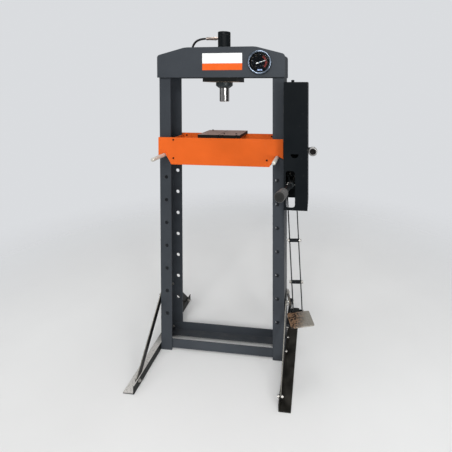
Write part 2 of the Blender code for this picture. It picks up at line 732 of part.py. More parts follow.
def make_pump_body():
    x0, x1 = PUMP_X
    z0, z1 = PUMP_Z
    body = add("pump_body", block((x0, -0.052, z0), (x1, MOUNT_Y[1], z1)), "black_paint")
    py, pz = LEVER_PIVOT[1:]
    for word, near in (("left", 0.3790), ("right", 0.4240)):
        ear = prism(arc((py, pz), 0.016, 180, 360, 8) + [(py + 0.016, z0 + 0.003),
                    (py - 0.016, z0 + 0.003)], "X", near, near + 0.008)
        boolean(body, tool("pump_" + word + "_ear", ear), "UNION")
    kx, kz = KNOB
    stem = add_rod(bmesh.new(), (x1 - 0.005, VALVE_Y, kz), (kx - 0.008, VALVE_Y, kz), 0.0105)
    boolean(body, tool("valve_stem", stem), "UNION")
    head = block((kx - 0.011, VALVE_Y - 0.011, kz - 0.011), (kx + 0.011, VALVE_Y + 0.011, kz + 0.011))
    boolean(body, tool("valve_head", head), "UNION")
    holes = [((0.3700, py, pz), (0.4400, py, pz), 0.0064)]
    holes.append(((LEVER_X, PLUNGER_Y, z0 - 0.01), (LEVER_X, PLUNGER_Y, 1.115), 0.0083))
    holes.append(((kx, VALVE_Y - 0.02, kz), (kx, VALVE_Y + 0.007, kz), 0.0050))
    drill(body, "pump_holes", holes)
    pin = rod((0.3745, py, pz), (0.4330, py, pz), 0.0060, 16, 0.001, 0.0090, 0.004)
    add("lever_pivot_pin", pin, "bright_steel")
    y, z = HOSE_HOLE
    plate = add("pump_mounting_plate", block(
        (MOUNT_X[0], MOUNT_Y[0], MOUNT_Z[0]), (MOUNT_X[1], MOUNT_Y[1], MOUNT_Z[1])), "black_paint")
    drill(plate, "plate_hole", [((0.35, y, z), (0.375, y, z), 0.009)])


def make_plunger():
    nose = 0.006
    axis = pivot("plunger_axis", (LEVER_X, PLUNGER_Y, PLUNGER_NOSE))
    profile = [(0.0, 0.0)]
    for along, radius in arc((nose, 0.0), nose, 150, 90, 3):
        profile.append((along, radius))
    profile += [(0.044, nose), (0.044, PLUNGER_R), (0.096, PLUNGER_R), (0.096, 0.0)]
    bm = turned(profile, (0, 0, 0), UP, 16)
    add("pump_plunger", bm, "bright_steel", axis.location, parent=axis)


def make_pump_lever():
    """The lever is drawn level, pointing to -Y from its pivot, and tilted up as an object."""
    tilt = (-LEVER_ANGLE, 0.0, 0.0)
    swing = pivot("pump_lever_axis", LEVER_PIVOT)
    bm = turned([
        (0.010, 0.0), (0.010, LEVER_R), (SOCKET_END, LEVER_R), (SOCKET_END, SOCKET_R),
        (SOCKET_START, SOCKET_R), (SOCKET_START, 0.0),
    ], (0, 0, 0), (0, -1, 0), 20)
    lever = add("pump_lever", bm, "black_paint", LEVER_PIVOT, tilt, swing)
    tail = [(0.043, -0.010), (0.043, 0.010), (-0.020, 0.014), (-0.055, 0.0125)]
    tail += [(-0.055, -0.0125), (-0.020, -0.014)]
    tail = prism(tail, "X", -LEVER_R, LEVER_R)
    boolean(lever, tool("lever_tail", tail, LEVER_PIVOT, tilt), "UNION")
    reach = math.hypot(*LINK_OFFSET)
    bm = bmesh.new()
    add_rod(bm, (-0.03, 0, 0), (0.03, 0, 0), 0.0064)
    add_rod(bm, (-0.03, -reach, 0), (0.03, -reach, 0), LINK_PIN_R + 0.0003)
    boolean(lever, tool("lever_holes", bm, LEVER_PIVOT, tilt))
    start = (STRAP_TOP_X[0] - 0.0055, LINK_PIN_Y, LEVER_PIN_Z)
    end = (STRAP_TOP_X[1] + 0.0035, LINK_PIN_Y, LEVER_PIN_Z)
    bm = rod((0, 0, 0), Vector(end) - Vector(start), LINK_PIN_R, 16, 0.001, 0.0080, 0.004)
    add("lever_link_pin", bm, "bright_steel", start, parent=swing)

    tube = turned([
        (SOCKET_START + GAP, 0.0095), (SOCKET_START + GAP, HAND_LEVER_R),
        (HAND_LEVER_END, HAND_LEVER_R), (HAND_LEVER_END, 0.0095),
    ], (0, 0, 0), (0, -1, 0), 16)
    add("hand_lever", tube, "black_paint", LEVER_PIVOT, tilt, swing)
    bore = HAND_LEVER_R + GAP
    grip = turned([
        (GRIP_START, bore), (GRIP_START, GRIP_R), (GRIP_END - 0.004, GRIP_R),
        (GRIP_END, GRIP_R - 0.004), (GRIP_END, 0.0), (HAND_LEVER_END + GAP, 0.0),
        (HAND_LEVER_END + GAP, bore),
    ], (0, 0, 0), (0, -1, 0), 20)
    add("hand_lever_grip", grip, "rubber", LEVER_PIVOT, tilt, swing)


def make_release_knob():
    x, z = KNOB
    axis = pivot("release_knob_axis", (x, VALVE_Y, z))
    knob = turned([
        (-0.005, 0.0), (-0.005, 0.0045), (0.050, 0.0045), (0.050, 0.0130), (0.054, 0.0150),
        (0.056, KNOB_R - 0.001), (0.058, KNOB_R), (0.072, KNOB_R), (0.075, KNOB_R - 0.003),
        (0.075, 0.0175), (0.0735, 0.0160), (0.0735, 0.0),
    ], (0, 0, 0), (0, -1, 0), 28)
    add("release_knob", knob, "bright_steel", axis.location, parent=axis)


# --- foot linkage ----------------------------------------------------------------------------


def make_link():
    """Two leaning straps from the pump lever to the pedal, held apart by two spacers."""
    drop = LEVER_PIN_Z - PEDAL_PIN_Z
    lean = -math.atan2(STRAP_SHIFT, drop)
    length = math.hypot(STRAP_SHIFT, drop)
    axis = pivot("link_axis", (LEVER_X, LINK_PIN_Y, LEVER_PIN_Z))
    for word, x in zip(("left", "right"), STRAP_TOP_X):
        outline = stadium((0.0, -length), (0.0, 0.0), STRAP_WIDTH)
        place, turn = (x, LINK_PIN_Y, LEVER_PIN_Z), (0.0, lean, 0.0)
        bm = prism(outline, "X", -STRAP_T / 2, STRAP_T / 2)
        strap = add(word + "_link_strap", bm, "black_paint", place, turn, axis)
        bm = bmesh.new()
        for z in (0.0, -length):
            add_rod(bm, (-0.01, 0, z), (0.01, 0, z), LINK_PIN_R + 0.0008)
        boolean(strap, tool(word + "_strap_holes", bm, place, turn))
    between = (STRAP_TOP_X[1] - STRAP_TOP_X[0]) * math.cos(lean)
    reach = between - STRAP_T - 2 * GAP
    middle = sum(STRAP_TOP_X) / 2
    for word, z in zip(("upper", "lower"), SPACER_Z):
        x = middle + STRAP_SHIFT * (LEVER_PIN_Z - z) / drop
        bm = turned([
            (-reach / 2, 0.0045), (-reach / 2, SPACER_R), (reach / 2, SPACER_R),
            (reach / 2, 0.0045),
        ], (0, 0, 0), (1, 0, 0), 16)
        place = (x, LINK_PIN_Y, z)
        add(word + "_link_spacer", bm, "black_paint", place, (0.0, lean, 0.0), axis)


def make_pedal():
    """The arm swings on its bracket's stud, beside the straps, and carries the tread on a bar."""
    x, y, z = PEDAL_PIVOT
    near, far = UPRIGHT_OUT + GAP, BRACKET_X
    front, back = BRACKET_Y
    low, high = BRACKET_Z
    add("pedal_bracket", block((near, front, low), (far, back, high)), "black_paint")
    bolt = rod((far + GAP, y, z), (x + 0.0108, y, z), 0.0062, 16, 0.001, 0.0100, 0.005)
    add("pedal_pivot_bolt", bolt, "bright_steel")

    press = pivot("pedal_axis", PEDAL_PIVOT)
    pin_y, pin_z = LINK_PIN_Y, PEDAL_PIN_Z
    top = TREAD_Z[0] - GAP
    outline = arc((y, z), 0.016, -80, 100, 8)
    outline += [(y - 0.080, top), (-0.250, top), (-0.254, top - 0.006), (-0.250, top - 0.014)]
    outline += [(-0.160, pin_z - 0.011), (pin_y + 0.01, pin_z - 0.014)]
    outline = [(u - y, v - z) for u, v in outline]
    arm = add("pedal_arm", prism(outline, "X", -0.006, 0.006), "black_paint", PEDAL_PIVOT,
              parent=press)
    boss = add_rod(bmesh.new(), (-0.007, 0, 0), (0.0100, 0, 0), 0.0125, 20)
    boolean(arm, tool("pedal_boss", boss, PEDAL_PIVOT), "UNION")
    bar = block((x + 0.002, -0.245, top - 0.009), (x + 0.085, -0.205, top))
    boolean(arm, tool("tread_bar", bar), "UNION")
    bm = bmesh.new()
    add_rod(bm, (-0.03, 0, 0), (0.03, 0, 0), 0.0065)
    add_rod(bm, (-0.02, *LINK_OFFSET), (0.02, *LINK_OFFSET), LINK_PIN_R + 0.0003)
    boolean(arm, tool("pedal_holes", bm, PEDAL_PIVOT))
    start = (x - 0.0085, pin_y, pin_z)
    end = (STRAP_TOP_X[1] + STRAP_SHIFT + 0.0035, pin_y, pin_z)
    bm = rod((0, 0, 0), Vector(end) - Vector(start), LINK_PIN_R, 16, 0.001, 0.0085, 0.0045)
    add("pedal_link_pin", bm, "bright_steel", start, parent=press)
    wide, deep = TREAD_SIZE[0] / 2, TREAD_SIZE[1] / 2
    tread = prism(rounded_box((-wide, -deep), (wide, deep), 0.006), "Z", 0.0,
                  TREAD_Z[1] - TREAD_Z[0])
    place = (*TREAD_CENTRE, TREAD_Z[0])
    add("pedal_tread", tread, "plate_steel", place, (0.0, 0.0, TREAD_TURN), press)
    wire("pedal_return_spring", coil(*SPRING_ENDS, 0.0045, 8, 8), 0.0010, "bright_steel", 0)


def build():
    clear_scene()
    make_floor()
    make_frame()
    make_cylinder()
    make_ram()
    make_hydraulic_lines()
    make_gauge()
    make_bed()
    make_pump_cover()
    make_tank()
    make_pump_body()
    make_plunger()
    make_pump_lever()
    make_release_knob()
    make_link()
    make_pedal()


build()
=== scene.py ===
"""The hydraulic shop press as it is seen: finishes, fasteners and fine surfaces on the frame.

Lengths are in metres. The shared frame has its origin at the ram's face, but the shapes below are
given in heights above the floor, and are moved down by FLOOR as they are made.
"""

import math

import bmesh
import bpy
from mathutils import Matrix, Vector


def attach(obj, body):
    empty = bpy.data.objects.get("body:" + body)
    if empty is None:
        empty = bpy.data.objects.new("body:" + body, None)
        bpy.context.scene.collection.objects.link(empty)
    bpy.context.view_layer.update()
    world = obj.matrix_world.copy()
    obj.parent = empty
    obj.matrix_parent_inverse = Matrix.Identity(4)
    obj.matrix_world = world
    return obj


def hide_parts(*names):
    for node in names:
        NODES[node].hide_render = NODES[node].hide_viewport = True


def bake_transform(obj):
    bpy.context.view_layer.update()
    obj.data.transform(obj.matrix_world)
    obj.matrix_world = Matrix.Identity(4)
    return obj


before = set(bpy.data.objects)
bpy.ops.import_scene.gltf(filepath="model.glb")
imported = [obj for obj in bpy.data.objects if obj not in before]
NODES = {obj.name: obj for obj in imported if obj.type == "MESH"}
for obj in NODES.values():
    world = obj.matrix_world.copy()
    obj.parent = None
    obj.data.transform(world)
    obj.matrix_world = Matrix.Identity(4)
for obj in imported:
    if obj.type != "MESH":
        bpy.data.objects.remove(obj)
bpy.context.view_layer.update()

FLOOR = -1.443  # z of the floor in the shared frame
SHIFT = Vector((0.0, 0.0, FLOOR))
SIDES = (("left", -1), ("right", 1))
ENDS = (("front", -1), ("rear", 1))
UP = (0.0, 0.0, 1.0)
BACK = (0.0, 1.0, 0.0)
FORWARD = (0.0, -1.0, 0.0)

# ---------------------------------------------------------------------------------------------
# Materials
# ---------------------------------------------------------------------------------------------


def linear(*rgb):
    """sRGB 0 to 255 as linear colour."""
    out = []
    for value in rgb:
        value /= 255.0
        out.append(value / 12.92 if value <= 0.04045 else ((value + 0.055) / 1.055) ** 2.4)
    return (*out, 1.0)


def tinted(colour, times, plus=0.0):
    """A colour made darker or lighter."""
    return tuple(min(c * times + plus, 1.0) for c in colour[:3]) + (1.0,)


STEEL_CHIP = linear(126, 122, 118)  # steel where paint has chipped off
DUST = linear(176, 170, 160)
PAINT_SPECK = linear(150, 145, 138)
HANDLED_GREY = linear(120, 118, 114)
RUST_TONES = (linear(96, 62, 42), linear(60, 46, 38))
STAIN_TONES = (linear(128, 100, 76), linear(18, 12, 9))

EDGE_COSINES = (0.995, 0.85)  # between the true normal and the rounded one, on faces and edges
FACING_UP = (0.4, 0.95)  # z of a normal that starts to face up, and that fully does
FRONT_HALF = (0.05, -0.06)  # y between which the front-only painted top reflection sets in
TOOL_MARK_DEPTH = 0.00004


class Graph:
    """A material's node tree, built up from the Principled shader."""

    def __init__(self, name):
        self.material = bpy.data.materials.new(name)
        self.material.use_nodes = True
        self.tree = self.material.node_tree
        self.shader = self.tree.nodes["Principled BSDF"]
        self.coords = self.add("ShaderNodeTexCoord").outputs["Object"]

    def add(self, kind, inputs=None, **settings):
        node = self.tree.nodes.new(kind)
        for key, value in settings.items():
            setattr(node, key, value)
        for key, value in (inputs or {}).items():
            self.put(node.inputs[key], value)
        return node

    def put(self, socket, value):
        """Links a socket to another, or sets its value."""
        if isinstance(value, bpy.types.NodeSocket):
            self.tree.links.new(value, socket)
        else:
            socket.default_value = value

    def math(self, operation, a, b=0.0, clamp=False):
        node = self.add("ShaderNodeMath", {0: a, 1: b}, operation=operation)
        node.use_clamp = clamp
        return node.outputs[0]

    def mix(self, factor, a, b):
        """Colour a, going over to colour b as the factor goes from 0 to 1."""
        node = self.add("ShaderNodeMix", data_type="RGBA")
        for index, value in ((0, factor), (6, a), (7, b)):
            self.put(node.inputs[index], value)
        return node.outputs[2]

    def ramp(self, value, low, high, to_low=0.0, to_high=1.0):
        node = self.add("ShaderNodeMapRange", {
            "Value": value, "From Min": low, "From Max": high,
            "To Min": to_low, "To Max": to_high,
        })
        return node.outputs[0]

    def noise(self, scale, detail, stretch=None, seed=0.0, rough=0.55):
        place = self.add("ShaderNodeMapping", {
            "Vector": self.coords, "Location": (seed, seed * 0.7, seed * 1.3),
            "Scale": stretch or (1.0, 1.0, 1.0),
        })
        node = self.add("ShaderNodeTexNoise", {
            "Vector": place.outputs[0], "Scale": scale, "Detail": detail, "Roughness": rough,
        })
        return node.outputs["Fac"]

    def patches(self, scale, detail, seed, low, high, rough=0.55):
        """Noise that is 0 up to its value low and 1 from its value high."""
        return self.ramp(self.noise(scale, detail, seed=seed, rough=rough), low, high)

    def edges(self, width):
        """1 at an object's edges and 0 on its faces."""
        rounded = self.add("ShaderNodeBevel", {"Radius": width}, samples=4)
        plain = self.add("ShaderNodeNewGeometry")
        both = self.add("ShaderNodeVectorMath", {
            0: rounded.outputs[0], 1: plain.outputs["Normal"]}, operation="DOT_PRODUCT")
        return self.ramp(both.outputs["Value"], *EDGE_COSINES)

    def upward(self, facing=1.0):
        """1 where the surface faces up, or down for a facing of -1."""
        plain = self.add("ShaderNodeNewGeometry")
        split = self.add("ShaderNodeSeparateXYZ", {0: plain.outputs["Normal"]})
        return self.ramp(self.math("MULTIPLY", split.outputs[2], facing), *FACING_UP)

    def position(self, axis):
        """Where the surface is along X, Y or Z."""
        place = self.add("ShaderNodeNewGeometry").outputs["Position"]
        return self.add("ShaderNodeSeparateXYZ", {0: place}).outputs["XYZ".index(axis)]

    def finish(self, colour, roughness, metallic=0.0, height=None, depth=0.0002, **more):
        """Fills in the shader, with a bump from a height where there is one."""
        self.put(self.shader.inputs["Base Color"], colour)
        self.put(self.shader.inputs["Roughness"], roughness)
        self.put(self.shader.inputs["Metallic"], metallic)
        for key, value in more.items():
            self.put(self.shader.inputs[key.replace("_", " ")], value)
        if height is not None:
            bump = self.add("ShaderNodeBump", {
                "Height": height, "Distance": depth, "Strength": 1.0})
            self.put(self.shader.inputs["Normal"], bump.outputs[0])
        return self.material


def enamel(name, colour, seed, roughness, chips, dust, shine, wear=STEEL_CHIP, peel=0.00005,
           underside=None, painted_top_sheen=None, front_only=False):
    """Sprayed paint: orange peel, uneven gloss, dust on what faces up, and chipped edges.

    The colour given for the top is a painted reflection of the pale surroundings on what faces up,
    with dark specks, kept to the front where front_only is set; the one for the underside is a pale
    colour painted on what faces down.
    """
    g = Graph(name)
    dark, light = tinted(colour, 0.86), tinted(colour, 1.12, 0.002)
    base = g.mix(g.patches(2.3, 4.0, seed, 0.32, 0.68), dark, light)
    specks = g.ramp(g.noise(38.0, 3.0, seed=seed + 3.0), 0.66, 0.80, 0.0, 0.05)
    base = g.mix(specks, base, PAINT_SPECK)
    dusty = g.math("MULTIPLY", g.upward(), g.patches(14.0, 4.0, seed + 5, 0.35, 0.75))
    base = g.mix(g.math("MULTIPLY", dusty, dust), base, DUST)
    # Painted light on what faces up: a painted reflection; what faces down gets a plain pale colour
    for facing, facing_colour in ((-1.0, underside), (1.0, painted_top_sheen)):
        if facing_colour:
            speckle = g.patches(150.0, 5.0, seed + 6, 0.52, 0.66, rough=0.75)
            facing_colour = g.mix(speckle, facing_colour, tinted(facing_colour, 0.35))
            share = g.upward(facing)
            if front_only:
                share = g.math("MULTIPLY", share, g.ramp(g.position("Y"), *FRONT_HALF))
            base = g.mix(share, base, facing_colour)
    chipped = g.math("MULTIPLY", g.edges(0.0022), g.patches(55.0, 5.0, seed + 8, 0.56, 0.66),
                     clamp=True)
    scuffed = g.math("MULTIPLY", g.edges(0.004), g.patches(21.0, 4.0, seed + 9, 0.42, 0.7),
                     clamp=True)
    base = g.mix(g.math("MULTIPLY", scuffed, 0.22), base, light)
    base = g.mix(g.math("MULTIPLY", chipped, chips), base, wear)
    gloss = g.ramp(g.noise(7.0, 4.0, seed=seed + 11), 0.3, 0.7, roughness - 0.05, roughness + 0.08)
    gloss = g.math("ADD", gloss, g.math("MULTIPLY", dusty, 0.2))
    peel_map = g.noise(420.0, 2.0, seed=seed + 13)
    return g.finish(base, gloss, 0.0, peel_map, peel, Specular_IOR_Level=shine)


def metal(name, colour, seed, roughness, spread, scale=60.0, dark=0.75, stretch=None,
          rust=0.0, worn=0.5, metallic=1.0, edge_coat=None, stained=None):
    """Bare metal: tool marks along one direction, uneven polish, and rust or grime in patches.

    An edge_coat is the paint on all but the top. Stained is where a brown stain ends and where it
    is full, along X.
    """
    g = Graph(name)
    marks = g.noise(scale, 4.0, stretch, seed)
    cloud = g.noise(9.0, 4.0, seed=seed + 2)
    shade = tinted(colour, dark)
    base = g.mix(g.ramp(cloud, 0.3, 0.7), shade, colour)
    base = g.mix(g.ramp(marks, 0.35, 0.7, 0.0, 0.3), base, shade)
    base = g.mix(g.math("MULTIPLY", g.edges(0.0015), worn), base, tinted(colour, 1.25))
    gloss = g.ramp(marks, 0.3, 0.7, roughness - spread / 2, roughness + spread / 2)
    metalness = metallic
    if rust:
        patch = g.patches(33.0, 6.0, seed + 5, 0.60 - rust * 0.1, 0.66, rough=0.7)
        patch = g.math("MULTIPLY", patch, min(1.0, rust * 1.6))
        tone = g.mix(g.patches(90.0, 3.0, seed + 6, 0.4, 0.6), *RUST_TONES)
        base = g.mix(patch, base, tone)
        gloss = g.math("ADD", gloss, g.math("MULTIPLY", patch, 0.35), clamp=True)
        metalness = g.ramp(patch, 0.0, 1.0, metallic, 0.15 * metallic)
    if edge_coat:
        top = g.upward()
        base = g.mix(top, edge_coat, base)
        metalness = g.math("MULTIPLY", top, metalness)
    if stained:
        tone = g.mix(g.patches(105.0, 2.0, seed + 8, 0.49, 0.54), *STAIN_TONES)
        across = g.math("ADD", g.position("X"), g.math("MULTIPLY", cloud, 0.05))
        share = g.ramp(across, *stained)
        base = g.mix(share, base, tone)
        metalness = g.math("MULTIPLY", g.math("SUBTRACT", 1.0, share), metalness)
    return g.finish(base, gloss, metalness, marks, TOOL_MARK_DEPTH,
                    Specular_IOR_Level=0.15 if edge_coat else 0.4)


def rubber(name, colour, seed, roughness):
    """Matt rubber with a fine moulded grain, greyer where it is handled."""
    g = Graph(name)
    grain = g.noise(300.0, 2.0, seed=seed)
    base = g.mix(g.patches(12.0, 3.0, seed + 4, 0.35, 0.7), colour, tinted(colour, 1.7, 0.004))
    base = g.mix(g.math("MULTIPLY", g.edges(0.002), 0.3), base, HANDLED_GREY)
    gloss = g.ramp(grain, 0.3, 0.7, roughness - 0.08, roughness + 0.1)
    return g.finish(base, gloss, 0.0, grain, 0.00006, Specular_IOR_Level=0.22)


def print_ink(name, colour, seed, shine=0.25):
    """A printed or moulded colour, slightly uneven."""
    g = Graph(name)
    cloud = g.noise(18.0, 3.0, seed=seed)
    base = g.mix(g.ramp(cloud, 0.3, 0.7), tinted(colour, 0.9), colour)
    fleck = g.ramp(g.noise(260.0, 2.0, seed=seed + 2), 0.68, 0.75, 0.0, 0.25)
    base = g.mix(fleck, base, tinted(colour, 0.7))
    gloss = g.ramp(cloud, 0.3, 0.7, 0.4 - 0.06, 0.4 + 0.06)
    grain = g.noise(500.0, 1.0, seed=seed)
    return g.finish(base, gloss, 0.0, grain, 0.00001, Specular_IOR_Level=shine)


def window(name):
    """Clear instrument glass, faintly smeared."""
    g = Graph(name)
    smear = g.noise(35.0, 4.0, (1.0, 1.0, 0.3), 2.0)
    g.material.blend_method = "BLEND"
    return g.finish((0.9, 0.95, 0.96, 1.0), g.ramp(smear, 0.4, 0.8, 0.02, 0.12), 0.0, smear,
                    0.000005, Transmission_Weight=1.0, IOR=1.10, Alpha=0.22)


SLATE = enamel("slate_enamel", linear(58, 62, 67), seed=1.0, roughness=0.42, chips=0.35,
               dust=0.06, shine=0.14)
BLACK = enamel("black_enamel", linear(15, 19, 22), seed=2.0, roughness=0.38, chips=0.6,
               dust=0.04, shine=0.08)
GLAND = enamel("gland_enamel", linear(50, 57, 60), seed=4.6, roughness=0.34, chips=0.5,
               dust=0.06, shine=0.30)
# The mounting plate's underside is a pale colour painted on what faces down; its front is black
PALE_UNDERSIDE = enamel("mounting_plate_enamel", linear(18, 19, 18), seed=2.5, roughness=0.4,
                    chips=0.5, dust=0.05, shine=0.10, underside=linear(206, 184, 166))
# The braces' pale tops are a painted highlight
BRACE_BLACK = enamel("brace_enamel", linear(14, 15, 14), seed=2.8, roughness=0.36, chips=0.6,
                     dust=0.05, shine=0.12, painted_top_sheen=linear(190, 186, 176))
# The pale top of the left foot, on its front only, is a painted reflection of the bright
# surroundings on glossy black paint
LEFT_FOOT = enamel("left_foot_enamel", linear(12, 15, 14), seed=5.0, roughness=0.32, chips=0.7,
                   dust=0.1, shine=0.10, wear=linear(150, 145, 138),
                   painted_top_sheen=linear(212, 209, 204), front_only=True)
RIGHT_FOOT = enamel("right_foot_enamel", linear(22, 21, 17), seed=5.5, roughness=0.32,
                    chips=0.9, dust=0.08, shine=0.18, wear=linear(120, 112, 98))
ORANGE = enamel("orange_enamel", linear(212, 93, 30), seed=3.0, roughness=0.46, chips=0.5,
                dust=0.04, shine=0.12, wear=linear(120, 74, 50))
CAST = enamel("pump_casting", linear(28, 34, 36), seed=4.0, roughness=0.38, chips=0.4,
              dust=0.1, shine=0.22, peel=0.0002)

CHROME = metal("hard_chrome", linear(196, 194, 192), seed=6.0, roughness=0.22, spread=0.08,
               scale=40.0, dark=0.7, stretch=(1.0, 1.0, 12.0))
ZINC = metal("zinc_plate", linear(205, 202, 196), seed=7.0, roughness=0.30, spread=0.18,
             scale=70.0, dark=0.78, rust=0.15)
PIN_STEEL = metal("pin_steel", linear(214, 210, 200), seed=8.0, roughness=0.5, spread=0.2,
                  dark=0.8, stretch=(1.0, 6.0, 1.0), rust=0.2, metallic=0.45)
PLATE = metal("arbor_steel", linear(168, 140, 131), seed=9.0, roughness=0.5, spread=0.2,
              scale=45.0, dark=0.86, stretch=(8.0, 1.0, 1.0), rust=0.25, worn=0.3,
              metallic=0.2, edge_coat=linear(12, 10, 7))
TREAD = metal("tread_steel", linear(160, 156, 147), seed=10.0, roughness=0.55, spread=0.2,
              scale=50.0, dark=0.78, rust=0.3, metallic=0.25, stained=(0.508, 0.452))
KNOB_STEEL = metal("knob_steel", linear(172, 170, 168), seed=24.0, roughness=0.4, spread=0.2,
                   dark=0.7, metallic=0.8)
BRASS = metal("brass", linear(196, 158, 120), seed=11.0, roughness=0.28, spread=0.15,
              scale=70.0)
FERRULE = metal("ferrule_steel", linear(214, 196, 184), seed=12.0, roughness=0.28, spread=0.15,
                scale=50.0, stretch=(10.0, 1.0, 1.0))
SPRING = metal("spring_steel", linear(150, 140, 128), seed=13.0, roughness=0.32, spread=0.2,
               scale=80.0, dark=0.6, rust=0.3)
DARK_BOLT = metal("black_oxide", linear(40, 38, 38), seed=14.0, roughness=0.42, spread=0.2,
                  scale=70.0, dark=0.7)
BEZEL = metal("bezel_chrome", linear(128, 140, 156), seed=15.0, roughness=0.25, spread=0.08,
              scale=50.0)

HOSE = rubber("hose_rubber", linear(22, 22, 23), seed=16.0, roughness=0.5)
GRIP = rubber("grip_rubber", linear(74, 73, 72), seed=17.0, roughness=0.45)
# A near-black copy of the grip's rubber: painted shade on the grip's end
GRIP_END_SHADE = rubber("grip_end_painted_shade", linear(20, 20, 19), seed=17.5, roughness=0.7)

DIAL = print_ink("dial_black", linear(12, 15, 20), seed=18.0, shine=0.06)
WHITE = print_ink("print_white", linear(240, 240, 238), seed=19.0)
RED = print_ink("print_red", linear(112, 34, 30), seed=20.0)
PALE_BLUE = print_ink("print_blue", linear(140, 158, 196), seed=21.0)
LABEL_ORANGE = print_ink("label_orange", linear(232, 96, 26), seed=22.0)
FADED = print_ink("print_faded", linear(104, 96, 88), seed=23.0)
GLASS = window("gauge_window")

# ---------------------------------------------------------------------------------------------
# CAD nodes: smoothed, with their edges broken, and finished
# ---------------------------------------------------------------------------------------------

WELD_DISTANCE = 0.00001
SMOOTH_UP_TO = math.radians(33.0)  # corners sharper than this stay sharp
BREAK_FROM = math.radians(35.0)  # corners sharper than this get a small radius
FLAT_WITHIN = math.radians(0.6)  # facets nearer than this in direction are joined


def clean_up_group():
    """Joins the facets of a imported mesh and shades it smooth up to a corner's angle."""
    group = bpy.data.node_groups.new("clean_facets", "GeometryNodeTree")
    group.interface.new_socket("Geometry", in_out="INPUT", socket_type="NodeSocketGeometry")
    group.interface.new_socket("Geometry", in_out="OUTPUT", socket_type="NodeSocketGeometry")
    new, link = group.nodes.new, group.links.new
    start, end = new("NodeGroupInput"), new("NodeGroupOutput")
    weld = new("GeometryNodeMergeByDistance")
    weld.inputs["Distance"].default_value = WELD_DISTANCE
    drop = new("GeometryNodeRemoveAttribute")
    drop.inputs["Name"].default_value = "custom_normal"
    faces = new("GeometryNodeSetShadeSmooth")
    angle = new("GeometryNodeInputMeshEdgeAngle")
    flat = new("FunctionNodeCompare")
    flat.operation = "LESS_THAN"
    flat.inputs[1].default_value = SMOOTH_UP_TO
    edges = new("GeometryNodeSetShadeSmooth")
    edges.domain = "EDGE"
    link(start.outputs[0], weld.inputs["Geometry"])
    link(weld.outputs[0], drop.inputs["Geometry"])
    link(drop.outputs[0], faces.inputs["Geometry"])
    link(faces.outputs[0], edges.inputs["Geometry"])
    link(angle.outputs["Unsigned Angle"], flat.inputs[0])
    link(flat.outputs[0], edges.inputs["Shade Smooth"])
    link(edges.outputs[0], end.inputs[0])
    return group


CLEAN = clean_up_group()


def round_edges(obj, width):
    step = obj.modifiers.new("broken_edges", "BEVEL")
    step.width = width
    step.segments = 2
    step.limit_method = "ANGLE"
    step.angle_limit = BREAK_FROM
    step.use_clamp_overlap = True
    step.harden_normals = True
    step.miter_outer = "MITER_ARC"


def dress(material, width, *names):
    """Gives CAD nodes their finish and the small radius on their edges."""
    for name in names:
        obj = NODES[name]
        obj.data.materials.clear()
        obj.data.materials.append(material)
        tidy = obj.modifiers.new("clean_facets", "NODES")
        tidy.node_group = CLEAN
        flatten = obj.modifiers.new("join_flats", "DECIMATE")
        flatten.decimate_type = "DISSOLVE"
        flatten.angle_limit = FLAT_WITHIN
        if width:
            round_edges(obj, width)


dress(SLATE, 0.0022, "left_upright", "right_upright")
dress(SLATE, 0.0014, "crown_front_plate", "crown_back_plate", "crown_left_rib",
      "crown_right_rib", "front_base_rail", "rear_base_rail")
dress(PALE_UNDERSIDE, 0.0012, "cylinder_mounting_plate")
dress(BLACK, 0.0012, "pump_mounting_plate", "oil_tank")
dress(BLACK, 0.0009, "pump_cover")
dress(LEFT_FOOT, 0.0012, "left_foot")
dress(RIGHT_FOOT, 0.0012, "right_foot")
dress(BRACE_BLACK, 0.0010, "left_front_brace", "left_rear_brace", "right_front_brace",
      "right_rear_brace")
dress(BLACK, 0.0008, "left_link_strap", "right_link_strap", "pedal_arm", "pedal_bracket")
dress(ORANGE, 0.0012, "bed_front_plate", "bed_rear_plate")
dress(ORANGE, 0.0010, "bed_left_spacer", "bed_right_spacer")
dress(PLATE, 0.0010, "left_arbor_plate", "right_arbor_plate")
dress(CAST, 0.0012, "pump_body", "pump_lever")
dress(ZINC, 0.0006, "lever_pivot_pin", "pedal_pivot_bolt", "pedal_link_pin",
      "lever_link_pin", "pump_plunger")
dress(DIAL, 0.0, "gauge_dial")
dress(WHITE, 0.0, "gauge_pointer")
dress(GRIP, 0.0, "piston_seal")
dress(ZINC, 0.0004, "piston")
dress(TREAD, 0.0008, "pedal_tread")
dress(BLACK, 0.0006, "filler_cap")
dress(HOSE, 0.0, "hydraulic_hose")
dress(BRASS, 0.0, "gauge_pipe")
for name in ("hydraulic_hose", "gauge_pipe"):
    smooth = NODES[name].modifiers.new("smooth", "SUBSURF")
    smooth.levels = smooth.render_levels = 1

# ---------------------------------------------------------------------------------------------
# Shapes
# ---------------------------------------------------------------------------------------------


def piece(name, bm, material, body, width=0.0, replaces=None):
    """A bmesh, in heights above the floor, as a finished piece that rides on a CAD body."""
    bmesh.ops.recalc_face_normals(bm, faces=bm.faces)
    mesh = bpy.data.meshes.new(name)
    bm.to_mesh(mesh)
    bm.free()
    mesh.transform(Matrix.Translation(SHIFT))
    mesh.shade_smooth()
    mesh.set_sharp_from_angle(angle=BREAK_FROM)
    mesh.materials.append(material)
    obj = bpy.data.objects.new(name, mesh)
    bpy.context.scene.collection.objects.link(obj)
    if width:
        round_edges(obj, width)
    if replaces:
        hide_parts(replaces)
    if body:
        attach(obj, body)
    return obj


